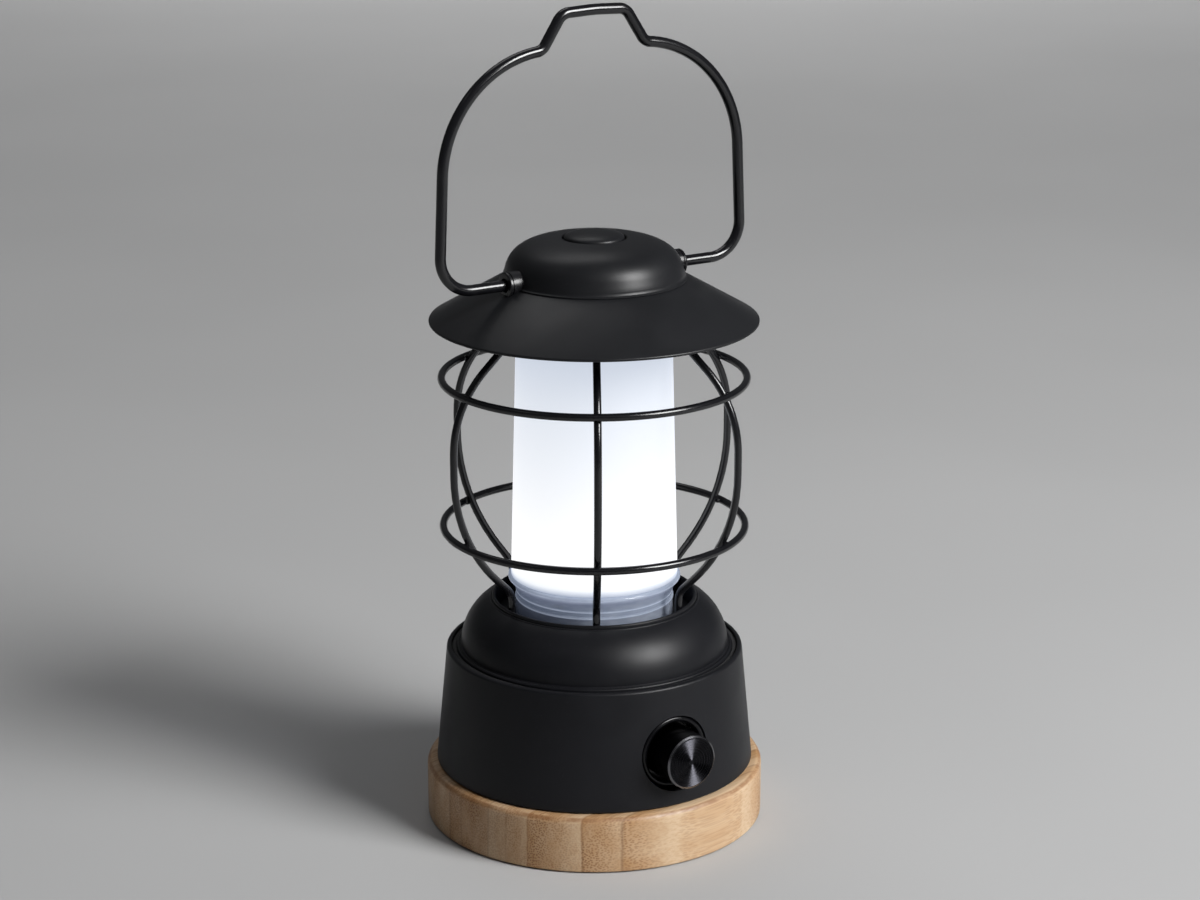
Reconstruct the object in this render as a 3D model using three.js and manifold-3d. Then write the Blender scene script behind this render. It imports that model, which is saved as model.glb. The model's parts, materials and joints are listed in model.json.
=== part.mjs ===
// Rechargeable camping lantern with a bamboo foot ring, a dimmer knob, a wire
// cage round a light diffuser, a wide rain shade and a swinging bail handle.
// Millimetres, +Z up. The origin is on the lantern's axis, in the plane that it
// stands on. The knob faces -Y, the charging port +Y, and the bail turns about X.
import * as THREE from 'three';
import { mergeVertices } from 'three/addons/utils/BufferGeometryUtils.js';
import Module from 'manifold-3d';

const wasm = await Module();
wasm.setup();

// ---------------------------------------------------------------- dimensions

const GAP = 0.3;                  // clearance kept between neighbouring pieces
const ROUND = 36;                 // sides of a large turned piece
const ROUND_MEDIUM = 24;
const ROUND_SMALL = 12;

const BAMBOO = { radius: 63, bore: 53.4, bottom: 0.4, top: 21.5, topRound: 2.6, bottomRound: 0.8,
  rebateRadius: 57.4, rebateTop: 4 };
const BASE_PLATE = { radius: 57, bottom: 1.3, top: 3.7, holeRadius: 1.7, counterbore: 3.1, counterboreDepth: 1.2 };
const FOOT_PAD = { radius: 40, top: 1 };
const BASE_SCREW = { count: 3, circle: 47.5, headRadius: 2.7, headHeight: 0.9, radius: 1.3, top: 13, firstAngle: 90 };

const HOUSING = { footRadius: 59.3, footZ: 21.8, shoulderRadius: 55.2, shoulderZ: 65, top: 66.2, wall: 2.1,
  seatZ: 64.9, seatInner: 46, lipInner: 53.3, spigotOuter: 53, spigotInner: 51, spigotBottom: 6.5, postRadius: 3.2 };
const GASKET = { inner: 51.5, outer: 53, height: 0.7 };

const DOME = { arcCentre: 30.6, arcWidth: 19.2, arcFoot: 66.5, arcHeight: 19.7, wall: 1.8, beadRadius: 51,
  lipOuter: 38.9, lipInner: 36.8, lipTop: 85.8, wellBottom: 74.6, flangeInner: 34.5, flangeTop: 76 };
const NECK_SEAT = { radius: 36.4, thickness: 2, holeRadius: 6 };
const COLLAR = { top: 94.9, widest: 32, waist: 28.8, foot: 29.2, wall: 1.9 };
const DIFFUSER = { bottomRadius: 30.9, topRadius: 28.4, shoulderZ: 189, top: 192, wall: 1.6 };
const HEAT_SPREADER = { radius: 26, thickness: 3, holeRadius: 5 };
const LED_BOARD = { radius: 24.5, thickness: 1.4 };
const LED_CHIP = { count: 6, circle: 15, size: 3.5, height: 1 };

const CAGE = { ribCount: 6, ribRadius: 1.2, ringWire: 1.25, upperRing: 55.7, upperZ: 169, lowerRing: 55.7,
  lowerZ: 112.7, belly: 58.7, footRadius: 35.2, topRadius: 34, topZ: 194.1 };
const TOP_PLATE = { radius: 44, bottom: 194.4, thickness: 1.7, holeRadius: 2.4 };
const TOP_PAD = { radius: 20, holeRadius: 5, bottom: 192.3, top: 194.1 };
const SHADE = { rimRadius: 60, rimZ: 189.9, rimHeight: 1.1, junctionRadius: 33, junctionZ: 206, wall: 1.1,
  innerRadius: 2.4 };
const CROWN = { radius: 32.9, bottom: 206.3, arcFoot: 200.5, top: 220.9, fullness: 3.7, wall: 1.2, holeRadius: 2.4,
  recessRadius: 12.4, recessZ: 219.6 };
const BOSS = { radius: 11.8, top: 223.2, boreRadius: 2.3, boreTop: 221 };
const CENTRE_BOLT = { headRadius: 4, headBottom: 192.5, headTop: 194.1, radius: 1.9, top: 220.6 };

const BAIL = { wire: 2, pivotZ: 207.3, stubX: 35.2, legX: 63.4, legBend: 12.5, shoulderX: 59.9, shoulderZ: 286,
  shoulderBend: 43, kinkX: 21.2, kinkZ: 289.6, kinkBend: 4.5, gripX: 13.1, gripZ: 302.1, gripBend: 5.5, crest: 302.6 };
const LUG = { radius: 4.8, innerX: 29, outerX: 37.2, boreRadius: 2.35, boreX: 34.8 };

const KNOB = { z: 41, radius: 10, back: 51.6, face: 67.5, chamfer: 0.7, counterbore: 6.8, counterboreEnd: 54,
  shaftBore: 3.3, shaftBoreEnd: 64 };
const KNOB_SHAFT = { radius: 3, inner: 46.4, outer: 63.4 };
const BEZEL = { radius: 13.5, innerRadius: 12.2, front: 55.8, floorFront: 50.4, floorBack: 49, holeRadius: 5,
  housingHole: 13.9 };
const DIMMER = { width: 16, height: 16, front: 45.6, back: 37, bushRadius: 4.6, bushEnd: 53 };
const DIMMER_NUT = { radius: 6, holeRadius: 4.95, back: 50.7, front: 52.6 };

const PORT = { width: 26, bottom: 27, top: 45.3, back: 51, front: 57.2, pocketHalf: 11.6, pocketBottom: 31,
  pocketTop: 43.7, pocketDepth: 1.9, socketZ: 37.5 };
const COVER = { halfWidth: 11.2, bottom: 31.4, top: 43.3, back: 55.7, front: 57.5, knuckle: 1.4, knuckleHalf: 7.4,
  pinY: 56.6, pinZ: 30.4, pinRadius: 0.6, pinBore: 0.9, pinHalf: 11 };
const USB = { width: 9.2, height: 3.5, wall: 0.5, back: 48, front: 54.8 };

const CELL = { radius: 9.2, length: 64, spacing: 19.8, z: 16.3 };
const HOLDER = { halfLength: 36, halfWidth: 20.5, bottom: 4.2, floor: 1.6, wall: 1.6, wallHeight: 14 };
const BOARD = { halfWidth: 20, minY: -14, maxY: 50, bottom: 33.6, top: 35.2 };
const LEAD = { radius: 0.7, x: 2.2, top: 81.6, sway: 3 };

// ------------------------------------------------------------------ helpers

const TURN = Math.PI * 2;
const radians = (degrees) => degrees * Math.PI / 180;

// A closed, merged geometry with its faces pointing out.
function closed(geometry) {
  const bare = geometry.clone();
  bare.deleteAttribute('normal');
  bare.deleteAttribute('uv');
  const merged = mergeVertices(bare, 1e-4);
  const source = merged.index.array;
  const index = [];
  for (let i = 0; i < source.length; i += 3) {
    const [a, b, c] = [source[i], source[i + 1], source[i + 2]];
    if (a !== b && b !== c && c !== a) index.push(a, b, c);
  }
  if (signedVolume(merged.attributes.position, index) < 0) index.reverse();
  merged.setIndex(index);
  merged.computeVertexNormals();
  return merged;
}

function signedVolume(position, index) {
  const [a, b, c] = [new THREE.Vector3(), new THREE.Vector3(), new THREE.Vector3()];
  let volume = 0;
  for (let i = 0; i < index.length; i += 3) {
    a.fromBufferAttribute(position, index[i]);
    b.fromBufferAttribute(position, index[i + 1]);
    c.fromBufferAttribute(position, index[i + 2]);
    volume += a.dot(b.cross(c)) / 6;
  }
  return volume;
}

function toSolid(geometry) {
  const mesh = closed(geometry);
  return new wasm.Manifold(new wasm.Mesh({
    numProp: 3,
    vertProperties: new Float32Array(mesh.attributes.position.array),
    triVerts: new Uint32Array(mesh.index.array),
  }));
}

function toGeometry(solid) {
  const mesh = solid.getMesh();
  const geometry = new THREE.BufferGeometry();
  geometry.setAttribute('position', new THREE.BufferAttribute(new Float32Array(mesh.vertProperties), 3));
  geometry.setIndex(new THREE.BufferAttribute(new Uint32Array(mesh.triVerts), 1));
  geometry.computeVertexNormals();
  return geometry;
}

function cut(geometry, ...tools) {
  return toGeometry(tools.reduce((solid, tool) => solid.subtract(toSolid(tool)), toSolid(geometry)));
}

function join(...geometries) {
  const [first, ...rest] = geometries.map(toSolid);
  return toGeometry(rest.reduce((solid, other) => solid.add(other), first));
}

// Points of an elliptic arc in a profile's (radius, height) plane.
function arc(centreR, centreZ, width, height, fromDegrees, toDegrees, steps) {
  return Array.from({ length: steps + 1 }, (_, i) => {
    const angle = radians(THREE.MathUtils.lerp(fromDegrees, toDegrees, i / steps));
    return [centreR + width * Math.cos(angle), centreZ + height * Math.sin(angle)];
  });
}

// A profile of [radius, height] pairs, closed on itself, turned about Z.
function turned(profile, sides = ROUND) {
  const points = profile.map(([r, z]) => new THREE.Vector2(r, z));
  if (profile[0][0] > 0 || profile.at(-1)[0] > 0) points.push(points[0].clone());
  return closed(new THREE.LatheGeometry(points, sides).rotateX(Math.PI / 2));
}

// A disc or ring with square edges.
function ring(inner, outer, bottom, top, sides = ROUND) {
  return turned([[inner, bottom], [outer, bottom], [outer, top], [inner, top]], sides);
}

// A profile of [radius, distance from the axis] pairs, turned about the knob's axis.
function turnedAtKnob(profile, sides = ROUND_MEDIUM) {
  return closed(turned(profile, sides).rotateX(Math.PI / 2).translate(0, 0, KNOB.z));
}

function box(minX, maxX, minY, maxY, minZ, maxZ) {
  return new THREE.BoxGeometry(maxX - minX, maxY - minY, maxZ - minZ)
    .translate((minX + maxX) / 2, (minY + maxY) / 2, (minZ + maxZ) / 2);
}

function rodAlongX(radius, minX, maxX, y, z, sides = ROUND_SMALL) {
  return new THREE.CylinderGeometry(radius, radius, maxX - minX, sides)
    .rotateZ(Math.PI / 2)
    .translate((minX + maxX) / 2, y, z);
}

function rodAlongZ(radius, x, y, minZ, maxZ, sides = ROUND_SMALL) {
  return new THREE.CylinderGeometry(radius, radius, maxZ - minZ, sides)
    .rotateX(Math.PI / 2)
    .translate(x, y, (minZ + maxZ) / 2);
}

// A bent wire's centre line: straight runs between corners, each corner rounded
// by a bend. The stations are the points where the wire's section is placed.
class BentWire extends THREE.Curve {
  constructor(corners, bends, degreesPerStation) {
    super();
    this.stations = [corners[0]];
    for (let i = 1; i < corners.length - 1; i++) {
      this.stations.push(...BentWire.bend(corners[i - 1], corners[i], corners[i + 1], bends[i - 1], degreesPerStation));
    }
    this.stations.push(corners.at(-1));
  }

  static bend(before, corner, after, radius, degreesPerStation) {
    const back = before.clone().sub(corner).normalize();
    const ahead = after.clone().sub(corner).normalize();
    const turn = Math.PI - back.angleTo(ahead);
    const inset = radius * Math.tan(turn / 2);
    const start = corner.clone().addScaledVector(back, inset);
    const toCentre = back.clone().add(ahead).normalize();
    const centre = corner.clone().addScaledVector(toCentre, radius / Math.cos(turn / 2));
    const spoke = start.clone().sub(centre);
    const axis = back.clone().cross(ahead).normalize();
    const steps = Math.max(2, Math.ceil(THREE.MathUtils.radToDeg(turn) / degreesPerStation));
    return Array.from({ length: steps + 1 }, (_, i) =>
      centre.clone().add(spoke.clone().applyAxisAngle(axis, -turn * i / steps)));
  }

  getPoint(t, target = new THREE.Vector3()) {
    const place = t * (this.stations.length - 1);
    const i = Math.min(Math.floor(place + 1e-9), this.stations.length - 2);
    return target.copy(this.stations[i]).lerp(this.stations[i + 1], place - i);
  }

  getPointAt(u, target) {
    return this.getPoint(u, target);
  }

  getTangentAt(u, target = new THREE.Vector3()) {
    const last = this.stations.length - 1;
    const i = Math.round(u * last);
    const before = this.stations[Math.max(i - 1, 0)];
    const after = this.stations[Math.min(i + 1, last)];
    return target.copy(after).sub(before).normalize();
  }
}

function wire(corners, bends, radius, degreesPerStation, sides) {
  const path = new BentWire(corners, bends, degreesPerStation);
  const section = new THREE.Shape(Array.from({ length: sides }, (_, i) =>
    new THREE.Vector2(radius * Math.cos(TURN * i / sides), radius * Math.sin(TURN * i / sides))));
  return closed(new THREE.ExtrudeGeometry(section, {
    steps: path.stations.length - 1, extrudePath: path, bevelEnabled: false,
  }));
}

// ---------------------------------------------------------------- materials

function finish(color, roughness, metalness = 0, extra = {}) {
  return new THREE.MeshStandardMaterial({ color, roughness, metalness, ...extra });
}

const FINISH = {
  powderCoat: () => finish(0x1d1d20, 0.48, 0.1),
  wireCoat: () => finish(0x15161a, 0.36, 0.2),
  bamboo: () => finish(0xc9a063, 0.55),
  rubber: () => finish(0x17171a, 0.85),
  steel: () => finish(0xb4b7ba, 0.35, 1),
  glossBlack: () => finish(0x0b0b0d, 0.2),
  anodised: () => finish(0x16171a, 0.3, 0.8),
  opal: () => finish(0xf4f7ff, 0.5, 0, { emissive: 0xe6eeff }),
  clear: () => finish(0xa9b6cc, 0.12, 0, { transparent: true, opacity: 0.5 }),
  aluminium: () => finish(0xc3c6c9, 0.4, 1),
  boardGreen: () => finish(0x1f5a3a, 0.5),
  boardWhite: () => finish(0xf2f2ee, 0.45),
  ledYellow: () => finish(0xf3e7a0, 0.35),
  cellWrap: () => finish(0x2f6fb0, 0.4),
  holder: () => finish(0x2a2a2c, 0.6),
  leadRed: () => finish(0xb4201c, 0.5),
  leadBlack: () => finish(0x141414, 0.5),
};

const lantern = new THREE.Group();

function add(name, geometry, material, parent = lantern) {
  const mesh = new THREE.Mesh(geometry, material);
  mesh.name = name;
  parent.add(mesh);
  return mesh;
}

// --------------------------------------------------------------------- base

function bambooBase() {
  const { radius, bore, bottom, top, topRound, bottomRound, rebateRadius, rebateTop } = BAMBOO;
  return turned([
    [bore, rebateTop], [rebateRadius, rebateTop], [rebateRadius, bottom],
    ...arc(radius - bottomRound, bottom + bottomRound, bottomRound, bottomRound, -90, 0, 2),
    ...arc(radius - topRound, top - topRound, topRound, topRound, 0, 90, 4),
    [bore, top],
  ]);
}

function screwPlaces() {
  return Array.from({ length: BASE_SCREW.count }, (_, i) => {
    const angle = radians(BASE_SCREW.firstAngle + 360 * i / BASE_SCREW.count);
    return [BASE_SCREW.circle * Math.cos(angle), BASE_SCREW.circle * Math.sin(angle)];
  });
}

function basePlate() {
  const { radius, bottom, top, holeRadius, counterbore, counterboreDepth } = BASE_PLATE;
  const plate = turned([[0, bottom], [radius, bottom], [radius, top], [0, top]]);
  const tools = screwPlaces().flatMap(([x, y]) => [
    rodAlongZ(holeRadius, x, y, bottom - 1, top + 1),
    rodAlongZ(counterbore, x, y, bottom - 1, bottom + counterboreDepth),
  ]);
  return cut(plate, ...tools);
}

function baseScrew([x, y]) {
  const headTop = BASE_PLATE.bottom + BASE_PLATE.counterboreDepth - GAP;
  const headBottom = headTop - BASE_SCREW.headHeight;
  return turned([[0, headBottom], [BASE_SCREW.headRadius, headBottom], [BASE_SCREW.headRadius, headTop],
    [BASE_SCREW.radius, headTop], [BASE_SCREW.radius, BASE_SCREW.top], [0, BASE_SCREW.top]], ROUND_SMALL)
    .translate(x, y, 0);
}

function addBase() {
  add('foot_pad', turned([[0, 0], [FOOT_PAD.radius, 0], [FOOT_PAD.radius, FOOT_PAD.top], [0, FOOT_PAD.top]]),
    FINISH.rubber());
  add('base_plate', basePlate(), FINISH.powderCoat());
  screwPlaces().forEach((place, i) => add(`base_screw_${i + 1}`, baseScrew(place), FINISH.steel()));
  add('bamboo_base', bambooBase(), FINISH.bamboo());
}

// ------------------------------------------------------------------ housing

function lowerHousing() {
  const h = HOUSING;
  const innerFoot = h.footRadius - h.wall - 0.2;
  const innerShoulder = h.shoulderRadius - h.wall;
  const shell = turned([
    [h.spigotOuter, h.footZ], [h.footRadius, h.footZ],
    ...arc(h.shoulderRadius - 1.2, h.shoulderZ, 1.2, h.top - h.shoulderZ, 0, 90, 3),
    [h.lipInner, h.top], [h.lipInner, h.seatZ], [h.seatInner, h.seatZ], [h.seatInner, h.seatZ - h.wall],
    [innerShoulder, h.seatZ - h.wall], [innerFoot, h.footZ + h.wall], [h.spigotInner, h.footZ + h.wall],
    [h.spigotInner, h.spigotBottom], [h.spigotOuter, h.spigotBottom],
  ]);
  const posts = screwPlaces().map(([x, y]) => {
    const reach = (h.spigotInner + 0.8) / BASE_SCREW.circle;
    const post = rodAlongZ(h.postRadius, x, y, h.spigotBottom, BASE_SCREW.top + 4);
    const web = box(-1.2, 1.2, BASE_SCREW.circle, BASE_SCREW.circle * reach, h.spigotBottom, BASE_SCREW.top + 4)
      .rotateZ(Math.atan2(y, x) - Math.PI / 2);
    return join(post, web);
  });
  const pilotHoles = screwPlaces().map(([x, y]) =>
    rodAlongZ(BASE_SCREW.radius + GAP, x, y, h.spigotBottom - 1, BASE_SCREW.top + 1));
  const knobHole = new THREE.CylinderGeometry(BEZEL.housingHole, BEZEL.housingHole, 30, ROUND_MEDIUM)
    .translate(0, -60, KNOB.z);
  const portHole = box(-PORT.width / 2 - GAP, PORT.width / 2 + GAP, 45, 75, PORT.bottom - GAP, PORT.top + GAP);
  return cut(join(shell, ...posts), ...pilotHoles, knobHole, portHole);
}

function upperHousing() {
  const d = DOME;
  const seat = HOUSING.seatZ + GAP;
  const outerArc = arc(d.arcCentre, d.arcFoot, d.arcWidth, d.arcHeight, 5, 65, 8);
  const innerArc = arc(d.arcCentre, d.arcFoot, d.arcWidth - d.wall, d.arcHeight - d.wall, 60, 5, 6);
  return turned([
    [d.beadRadius, seat], [d.beadRadius, seat + 1.4], [d.beadRadius - 0.6, seat + 2],
    ...outerArc, [d.lipOuter, d.lipTop - 1.4], [d.lipOuter - 1, d.lipTop - 0.1], [d.lipInner + 0.3, d.lipTop - 0.2],
    [d.lipInner, d.lipTop - 0.8], [d.lipInner, d.flangeTop], [d.flangeInner, d.flangeTop],
    [d.flangeInner, d.wellBottom], [d.lipInner + 1.6, d.wellBottom], [d.lipInner + 1.6, d.lipTop - 4],
    ...innerArc, [d.beadRadius - 2.9, seat],
  ]);
}

function addHousing() {
  add('lower_housing', lowerHousing(), FINISH.powderCoat());
  const gasketBottom = HOUSING.seatZ + GAP;
  add('seam_gasket', ring(GASKET.inner, GASKET.outer, gasketBottom, gasketBottom + GASKET.height), FINISH.rubber());
  add('upper_housing', upperHousing(), FINISH.powderCoat());
}

// -------------------------------------------------------------------- light

function clearCollar(bottom) {
  const c = COLLAR;
  return turned([
    [c.foot - c.wall, bottom], [c.foot, bottom], [c.foot, 85.2], [c.waist, 85.6], [c.waist, 87.6],
    [c.waist + 0.9, 89.6], [c.widest - 0.7, 91.8], [c.widest, 93.2], [c.widest - 0.4, 94.4],
    [c.widest - 1, c.top], [c.widest - 3, c.top], [c.widest - 3, 93], [c.waist - c.wall, 88.4],
  ], ROUND_MEDIUM);
}

function diffuser() {
  const d = DIFFUSER;
  const bottom = COLLAR.top + GAP;
  const cornerRadius = d.top - d.shoulderZ;
  return turned([
    [d.bottomRadius - d.wall, bottom], [d.bottomRadius, bottom],
    ...arc(d.topRadius - cornerRadius, d.shoulderZ, cornerRadius, cornerRadius, 0, 90, 3),
    [0, d.top], [0, d.top - d.wall],
    [d.topRadius - cornerRadius, d.top - d.wall], [d.topRadius - d.wall, d.shoulderZ - 0.4],
    [d.bottomRadius - d.wall, bottom],
  ], ROUND_MEDIUM);
}

function addLight() {
  const seatBottom = DOME.flangeTop + GAP;
  const seatTop = seatBottom + NECK_SEAT.thickness;
  add('neck_seat', ring(NECK_SEAT.holeRadius, NECK_SEAT.radius, seatBottom, seatTop, ROUND_MEDIUM),
    FINISH.powderCoat());
  add('clear_collar', clearCollar(seatTop + GAP), FINISH.clear());
  add('diffuser', diffuser(), FINISH.opal());

  const spreaderBottom = seatTop + GAP;
  const spreaderTop = spreaderBottom + HEAT_SPREADER.thickness;
  add('heat_spreader', ring(HEAT_SPREADER.holeRadius, HEAT_SPREADER.radius, spreaderBottom, spreaderTop,
    ROUND_MEDIUM), FINISH.aluminium());
  const boardBottom = spreaderTop + GAP;
  const boardTop = boardBottom + LED_BOARD.thickness;
  add('led_board', turned([[0, boardBottom], [LED_BOARD.radius, boardBottom], [LED_BOARD.radius, boardTop],
    [0, boardTop]], ROUND_MEDIUM), FINISH.boardWhite());
  for (let i = 0; i < LED_CHIP.count; i++) {
    const chip = new THREE.BoxGeometry(LED_CHIP.size, LED_CHIP.size, LED_CHIP.height);
    const mesh = add(`led_chip_${i + 1}`, chip, FINISH.ledYellow());
    const angle = TURN * i / LED_CHIP.count;
    mesh.position.set(LED_CHIP.circle * Math.cos(angle), LED_CHIP.circle * Math.sin(angle),
      boardTop + GAP + LED_CHIP.height / 2);
    mesh.rotation.z = angle;
  }
}

// --------------------------------------------------------------------- cage

function cageRib() {
  const c = CAGE;
  const at = (r, z) => new THREE.Vector3(r, 0, z);
  const topSlope = Math.tan(radians(43));
  const bellyTop = 178.7 - topSlope * (c.belly - 44);
  const bellyBottom = 95.4 + (c.belly - 39.3);
  return wire([
    at(c.topRadius, c.topZ),
    at(c.topRadius, 178.7 + topSlope * (44 - c.topRadius)),
    at(c.belly, bellyTop),
    at(c.belly, bellyBottom),
    at(c.footRadius, bellyBottom - (c.belly - c.footRadius)),
    at(c.footRadius, DOME.flangeTop + GAP + NECK_SEAT.thickness + GAP + 0.1),
  ], [5, 40, 60, 8], c.ribRadius, 11, 6);
}

function addCage() {
  const rib = cageRib();
  for (let i = 0; i < CAGE.ribCount; i++) {
    add(`cage_rib_${i + 1}`, rib.clone(), FINISH.wireCoat()).rotation.z = TURN * i / CAGE.ribCount;
  }
  for (const [name, radius, z] of [['cage_ring_upper', CAGE.upperRing, CAGE.upperZ],
    ['cage_ring_lower', CAGE.lowerRing, CAGE.lowerZ]]) {
    add(name, closed(new THREE.TorusGeometry(radius, CAGE.ringWire, 7, ROUND)), FINISH.wireCoat()).position.z = z;
  }
  add('cage_top_plate', ring(TOP_PLATE.holeRadius, TOP_PLATE.radius, TOP_PLATE.bottom,
    TOP_PLATE.bottom + TOP_PLATE.thickness), FINISH.powderCoat());
  add('top_pad', ring(TOP_PAD.holeRadius, TOP_PAD.radius, TOP_PAD.bottom, TOP_PAD.top, ROUND_MEDIUM),
    FINISH.rubber());
}

// --------------------------------------------------------------------- roof

function shade() {
  const s = SHADE;
  const under = s.wall / Math.cos(Math.atan2(s.junctionZ - s.rimZ, s.rimRadius - s.junctionRadius));
  return turned([
    [s.innerRadius, s.junctionZ - s.wall], [s.junctionRadius - 0.6, s.junctionZ - s.wall],
    [s.rimRadius - 1, s.rimZ + s.rimHeight - under - 0.1], [s.rimRadius - 0.8, s.rimZ],
    [s.rimRadius - 0.1, s.rimZ + 0.2], [s.rimRadius, s.rimZ + 0.7], [s.rimRadius - 0.5, s.rimZ + s.rimHeight + 0.3],
    [s.junctionRadius, s.junctionZ], [s.innerRadius, s.junctionZ],
  ]);
}

// The crown's outer height at a radius: a full, nearly flat-topped round.
function crownHeight(radius) {
  const across = Math.min(radius / CROWN.radius, 1);
  const rise = Math.pow(1 - Math.pow(across, CROWN.fullness), 1 / CROWN.fullness);
  return CROWN.arcFoot + (CROWN.top - CROWN.arcFoot) * rise;
}

function crown() {
  const c = CROWN;
  const outer = [0.99, 0.97, 0.93, 0.87, 0.77, 0.6].map((f) => [c.radius * f, crownHeight(c.radius * f)]);
  const inner = [...outer].reverse().map(([r, z]) => [r - c.wall * (r / c.radius), z - c.wall]);
  return turned([
    [c.radius - c.wall, c.bottom], [c.radius + 0.1, c.bottom], ...outer,
    [c.recessRadius, crownHeight(c.recessRadius)], [c.recessRadius, c.recessZ], [c.holeRadius, c.recessZ],
    [c.holeRadius, c.recessZ - c.wall], ...inner,
  ]);
}

function crownBoss() {
  const b = BOSS;
  const bottom = CROWN.recessZ + GAP;
  return turned([
    [0, b.boreTop], [b.boreRadius, b.boreTop], [b.boreRadius, bottom], [b.radius, bottom], [b.radius, b.top - 1.8],
    [b.radius - 0.6, b.top - 0.8], [b.radius - 2, b.top - 0.3], [0, b.top],
  ], ROUND_MEDIUM);
}

function centreBolt() {
  const b = CENTRE_BOLT;
  return turned([[0, b.headBottom], [b.headRadius, b.headBottom], [b.headRadius, b.headTop], [b.radius, b.headTop],
    [b.radius, b.top], [0, b.top]], ROUND_SMALL);
}

// Everything that a lug must keep clear of: the crown and shade, grown by the gap.
function roofClearance() {
  const s = SHADE;
  return turned([
    [0, s.rimZ - 20], [s.rimRadius, s.rimZ - 20], [s.rimRadius, s.rimZ + s.rimHeight + GAP + 0.2],
    [CROWN.radius + GAP + 0.2, s.junctionZ + GAP], [CROWN.radius + GAP + 0.2, CROWN.bottom + 4],
    [CROWN.radius + GAP - 0.4, CROWN.bottom + 7], [0, CROWN.bottom + 7],
  ]);
}

function bailLug(side) {
  const l = LUG;
  const body = rodAlongX(l.radius, l.innerX, l.outerX, 0, BAIL.pivotZ, ROUND_MEDIUM);
  const bore = rodAlongX(l.boreRadius, l.boreX, l.outerX + 1, 0, BAIL.pivotZ);
  const lug = cut(body, roofClearance(), bore);
  return side > 0 ? lug : closed(lug.rotateZ(Math.PI));
}

function addRoof() {
  add('shade', shade(), FINISH.powderCoat());
  add('crown', crown(), FINISH.powderCoat());
  add('crown_boss', crownBoss(), FINISH.powderCoat());
  add('centre_bolt', centreBolt(), FINISH.steel());
  add('bail_lug_right', bailLug(1), FINISH.glossBlack());
  add('bail_lug_left', bailLug(-1), FINISH.glossBlack());
}

// --------------------------------------------------------------------- bail

function bail() {
  const b = BAIL;
  const half = [[b.stubX, b.pivotZ], [b.legX, b.pivotZ], [b.shoulderX, b.shoulderZ], [b.kinkX, b.kinkZ],
    [b.gripX, b.gripZ]];
  const bends = [b.legBend, b.shoulderBend, b.kinkBend, b.gripBend];
  const at = ([x, z]) => new THREE.Vector3(x, 0, z);
  const mirrored = half.map(([x, z]) => [-x, z]).reverse();
  return wire([...half.map(at), new THREE.Vector3(0, 0, b.crest), ...mirrored.map(at)],
    [...bends, 60, ...[...bends].reverse()], b.wire, 12, 8);
}

// --------------------------------------------------------------------- knob

function knob() {
  const k = KNOB;
  return turnedAtKnob([
    [k.counterbore, k.back], [k.radius, k.back], [k.radius, k.face - k.chamfer], [k.radius - k.chamfer, k.face],
    [0, k.face], [0, k.shaftBoreEnd], [k.shaftBore, k.shaftBoreEnd], [k.shaftBore, k.counterboreEnd],
    [k.counterbore, k.counterboreEnd], [k.counterbore, k.back],
  ]);
}

function knobBezel() {
  const b = BEZEL;
  return turnedAtKnob([
    [b.holeRadius, b.floorBack], [b.radius, b.floorBack], [b.radius, b.front], [b.innerRadius + 0.4, b.front],
    [b.innerRadius, b.front - 0.5], [b.innerRadius, b.floorFront], [b.holeRadius, b.floorFront],
  ]);
}

function dimmer() {
  const d = DIMMER;
  const can = box(-d.width / 2, d.width / 2, -d.front, -d.back, KNOB.z - d.height / 2, KNOB.z + d.height / 2);
  const bush = turnedAtKnob([[KNOB.shaftBore, d.front - 1], [d.bushRadius, d.front - 1], [d.bushRadius, d.bushEnd],
    [KNOB.shaftBore, d.bushEnd]], ROUND_SMALL);
  return join(can, bush);
}

function addDimmer() {
  add('dimmer', dimmer(), FINISH.steel());
  const nut = DIMMER_NUT;
  add('dimmer_nut', turnedAtKnob([[nut.holeRadius, nut.back], [nut.radius, nut.back], [nut.radius, nut.front],
    [nut.holeRadius, nut.front]], ROUND_SMALL), FINISH.steel());
  add('knob_bezel', knobBezel(), FINISH.glossBlack());
  add('knob_shaft', turnedAtKnob([[0, KNOB_SHAFT.inner], [KNOB_SHAFT.radius, KNOB_SHAFT.inner],
    [KNOB_SHAFT.radius, KNOB_SHAFT.outer], [0, KNOB_SHAFT.outer]], ROUND_SMALL), FINISH.steel());
  add('knob', knob(), FINISH.anodised());
}

// --------------------------------------------------------------------- port

function portFrame() {
  const p = PORT;
  const c = COVER;
  const block = box(-p.width / 2, p.width / 2, p.back, p.front, p.bottom, p.top);
  const pocket = box(-p.pocketHalf, p.pocketHalf, p.front - p.pocketDepth, p.front + 1, p.pocketBottom, p.pocketTop);
  const knuckleSlot = box(-c.knuckleHalf - GAP, c.knuckleHalf + GAP, c.pinY - c.knuckle - GAP, p.front + 1,
    c.pinZ - c.knuckle - GAP, p.pocketBottom + 1);
  const pinHole = rodAlongX(c.pinBore, -c.pinHalf - GAP, c.pinHalf + GAP, c.pinY, c.pinZ);
  const socketHole = box(-USB.width / 2 - GAP, USB.width / 2 + GAP, p.back - 1, p.front + 1,
    p.socketZ - USB.height / 2 - GAP, p.socketZ + USB.height / 2 + GAP);
  return cut(block, pocket, knuckleSlot, pinHole, socketHole);
}

function usbSocket() {
  const [halfWidth, halfHeight] = [USB.width / 2, USB.height / 2];
  const outer = box(-halfWidth, halfWidth, USB.back, USB.front, PORT.socketZ - halfHeight, PORT.socketZ + halfHeight);
  const inner = box(-halfWidth + USB.wall, halfWidth - USB.wall, USB.back + 1, USB.front + 1,
    PORT.socketZ - halfHeight + USB.wall, PORT.socketZ + halfHeight - USB.wall);
  return cut(outer, inner);
}

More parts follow.
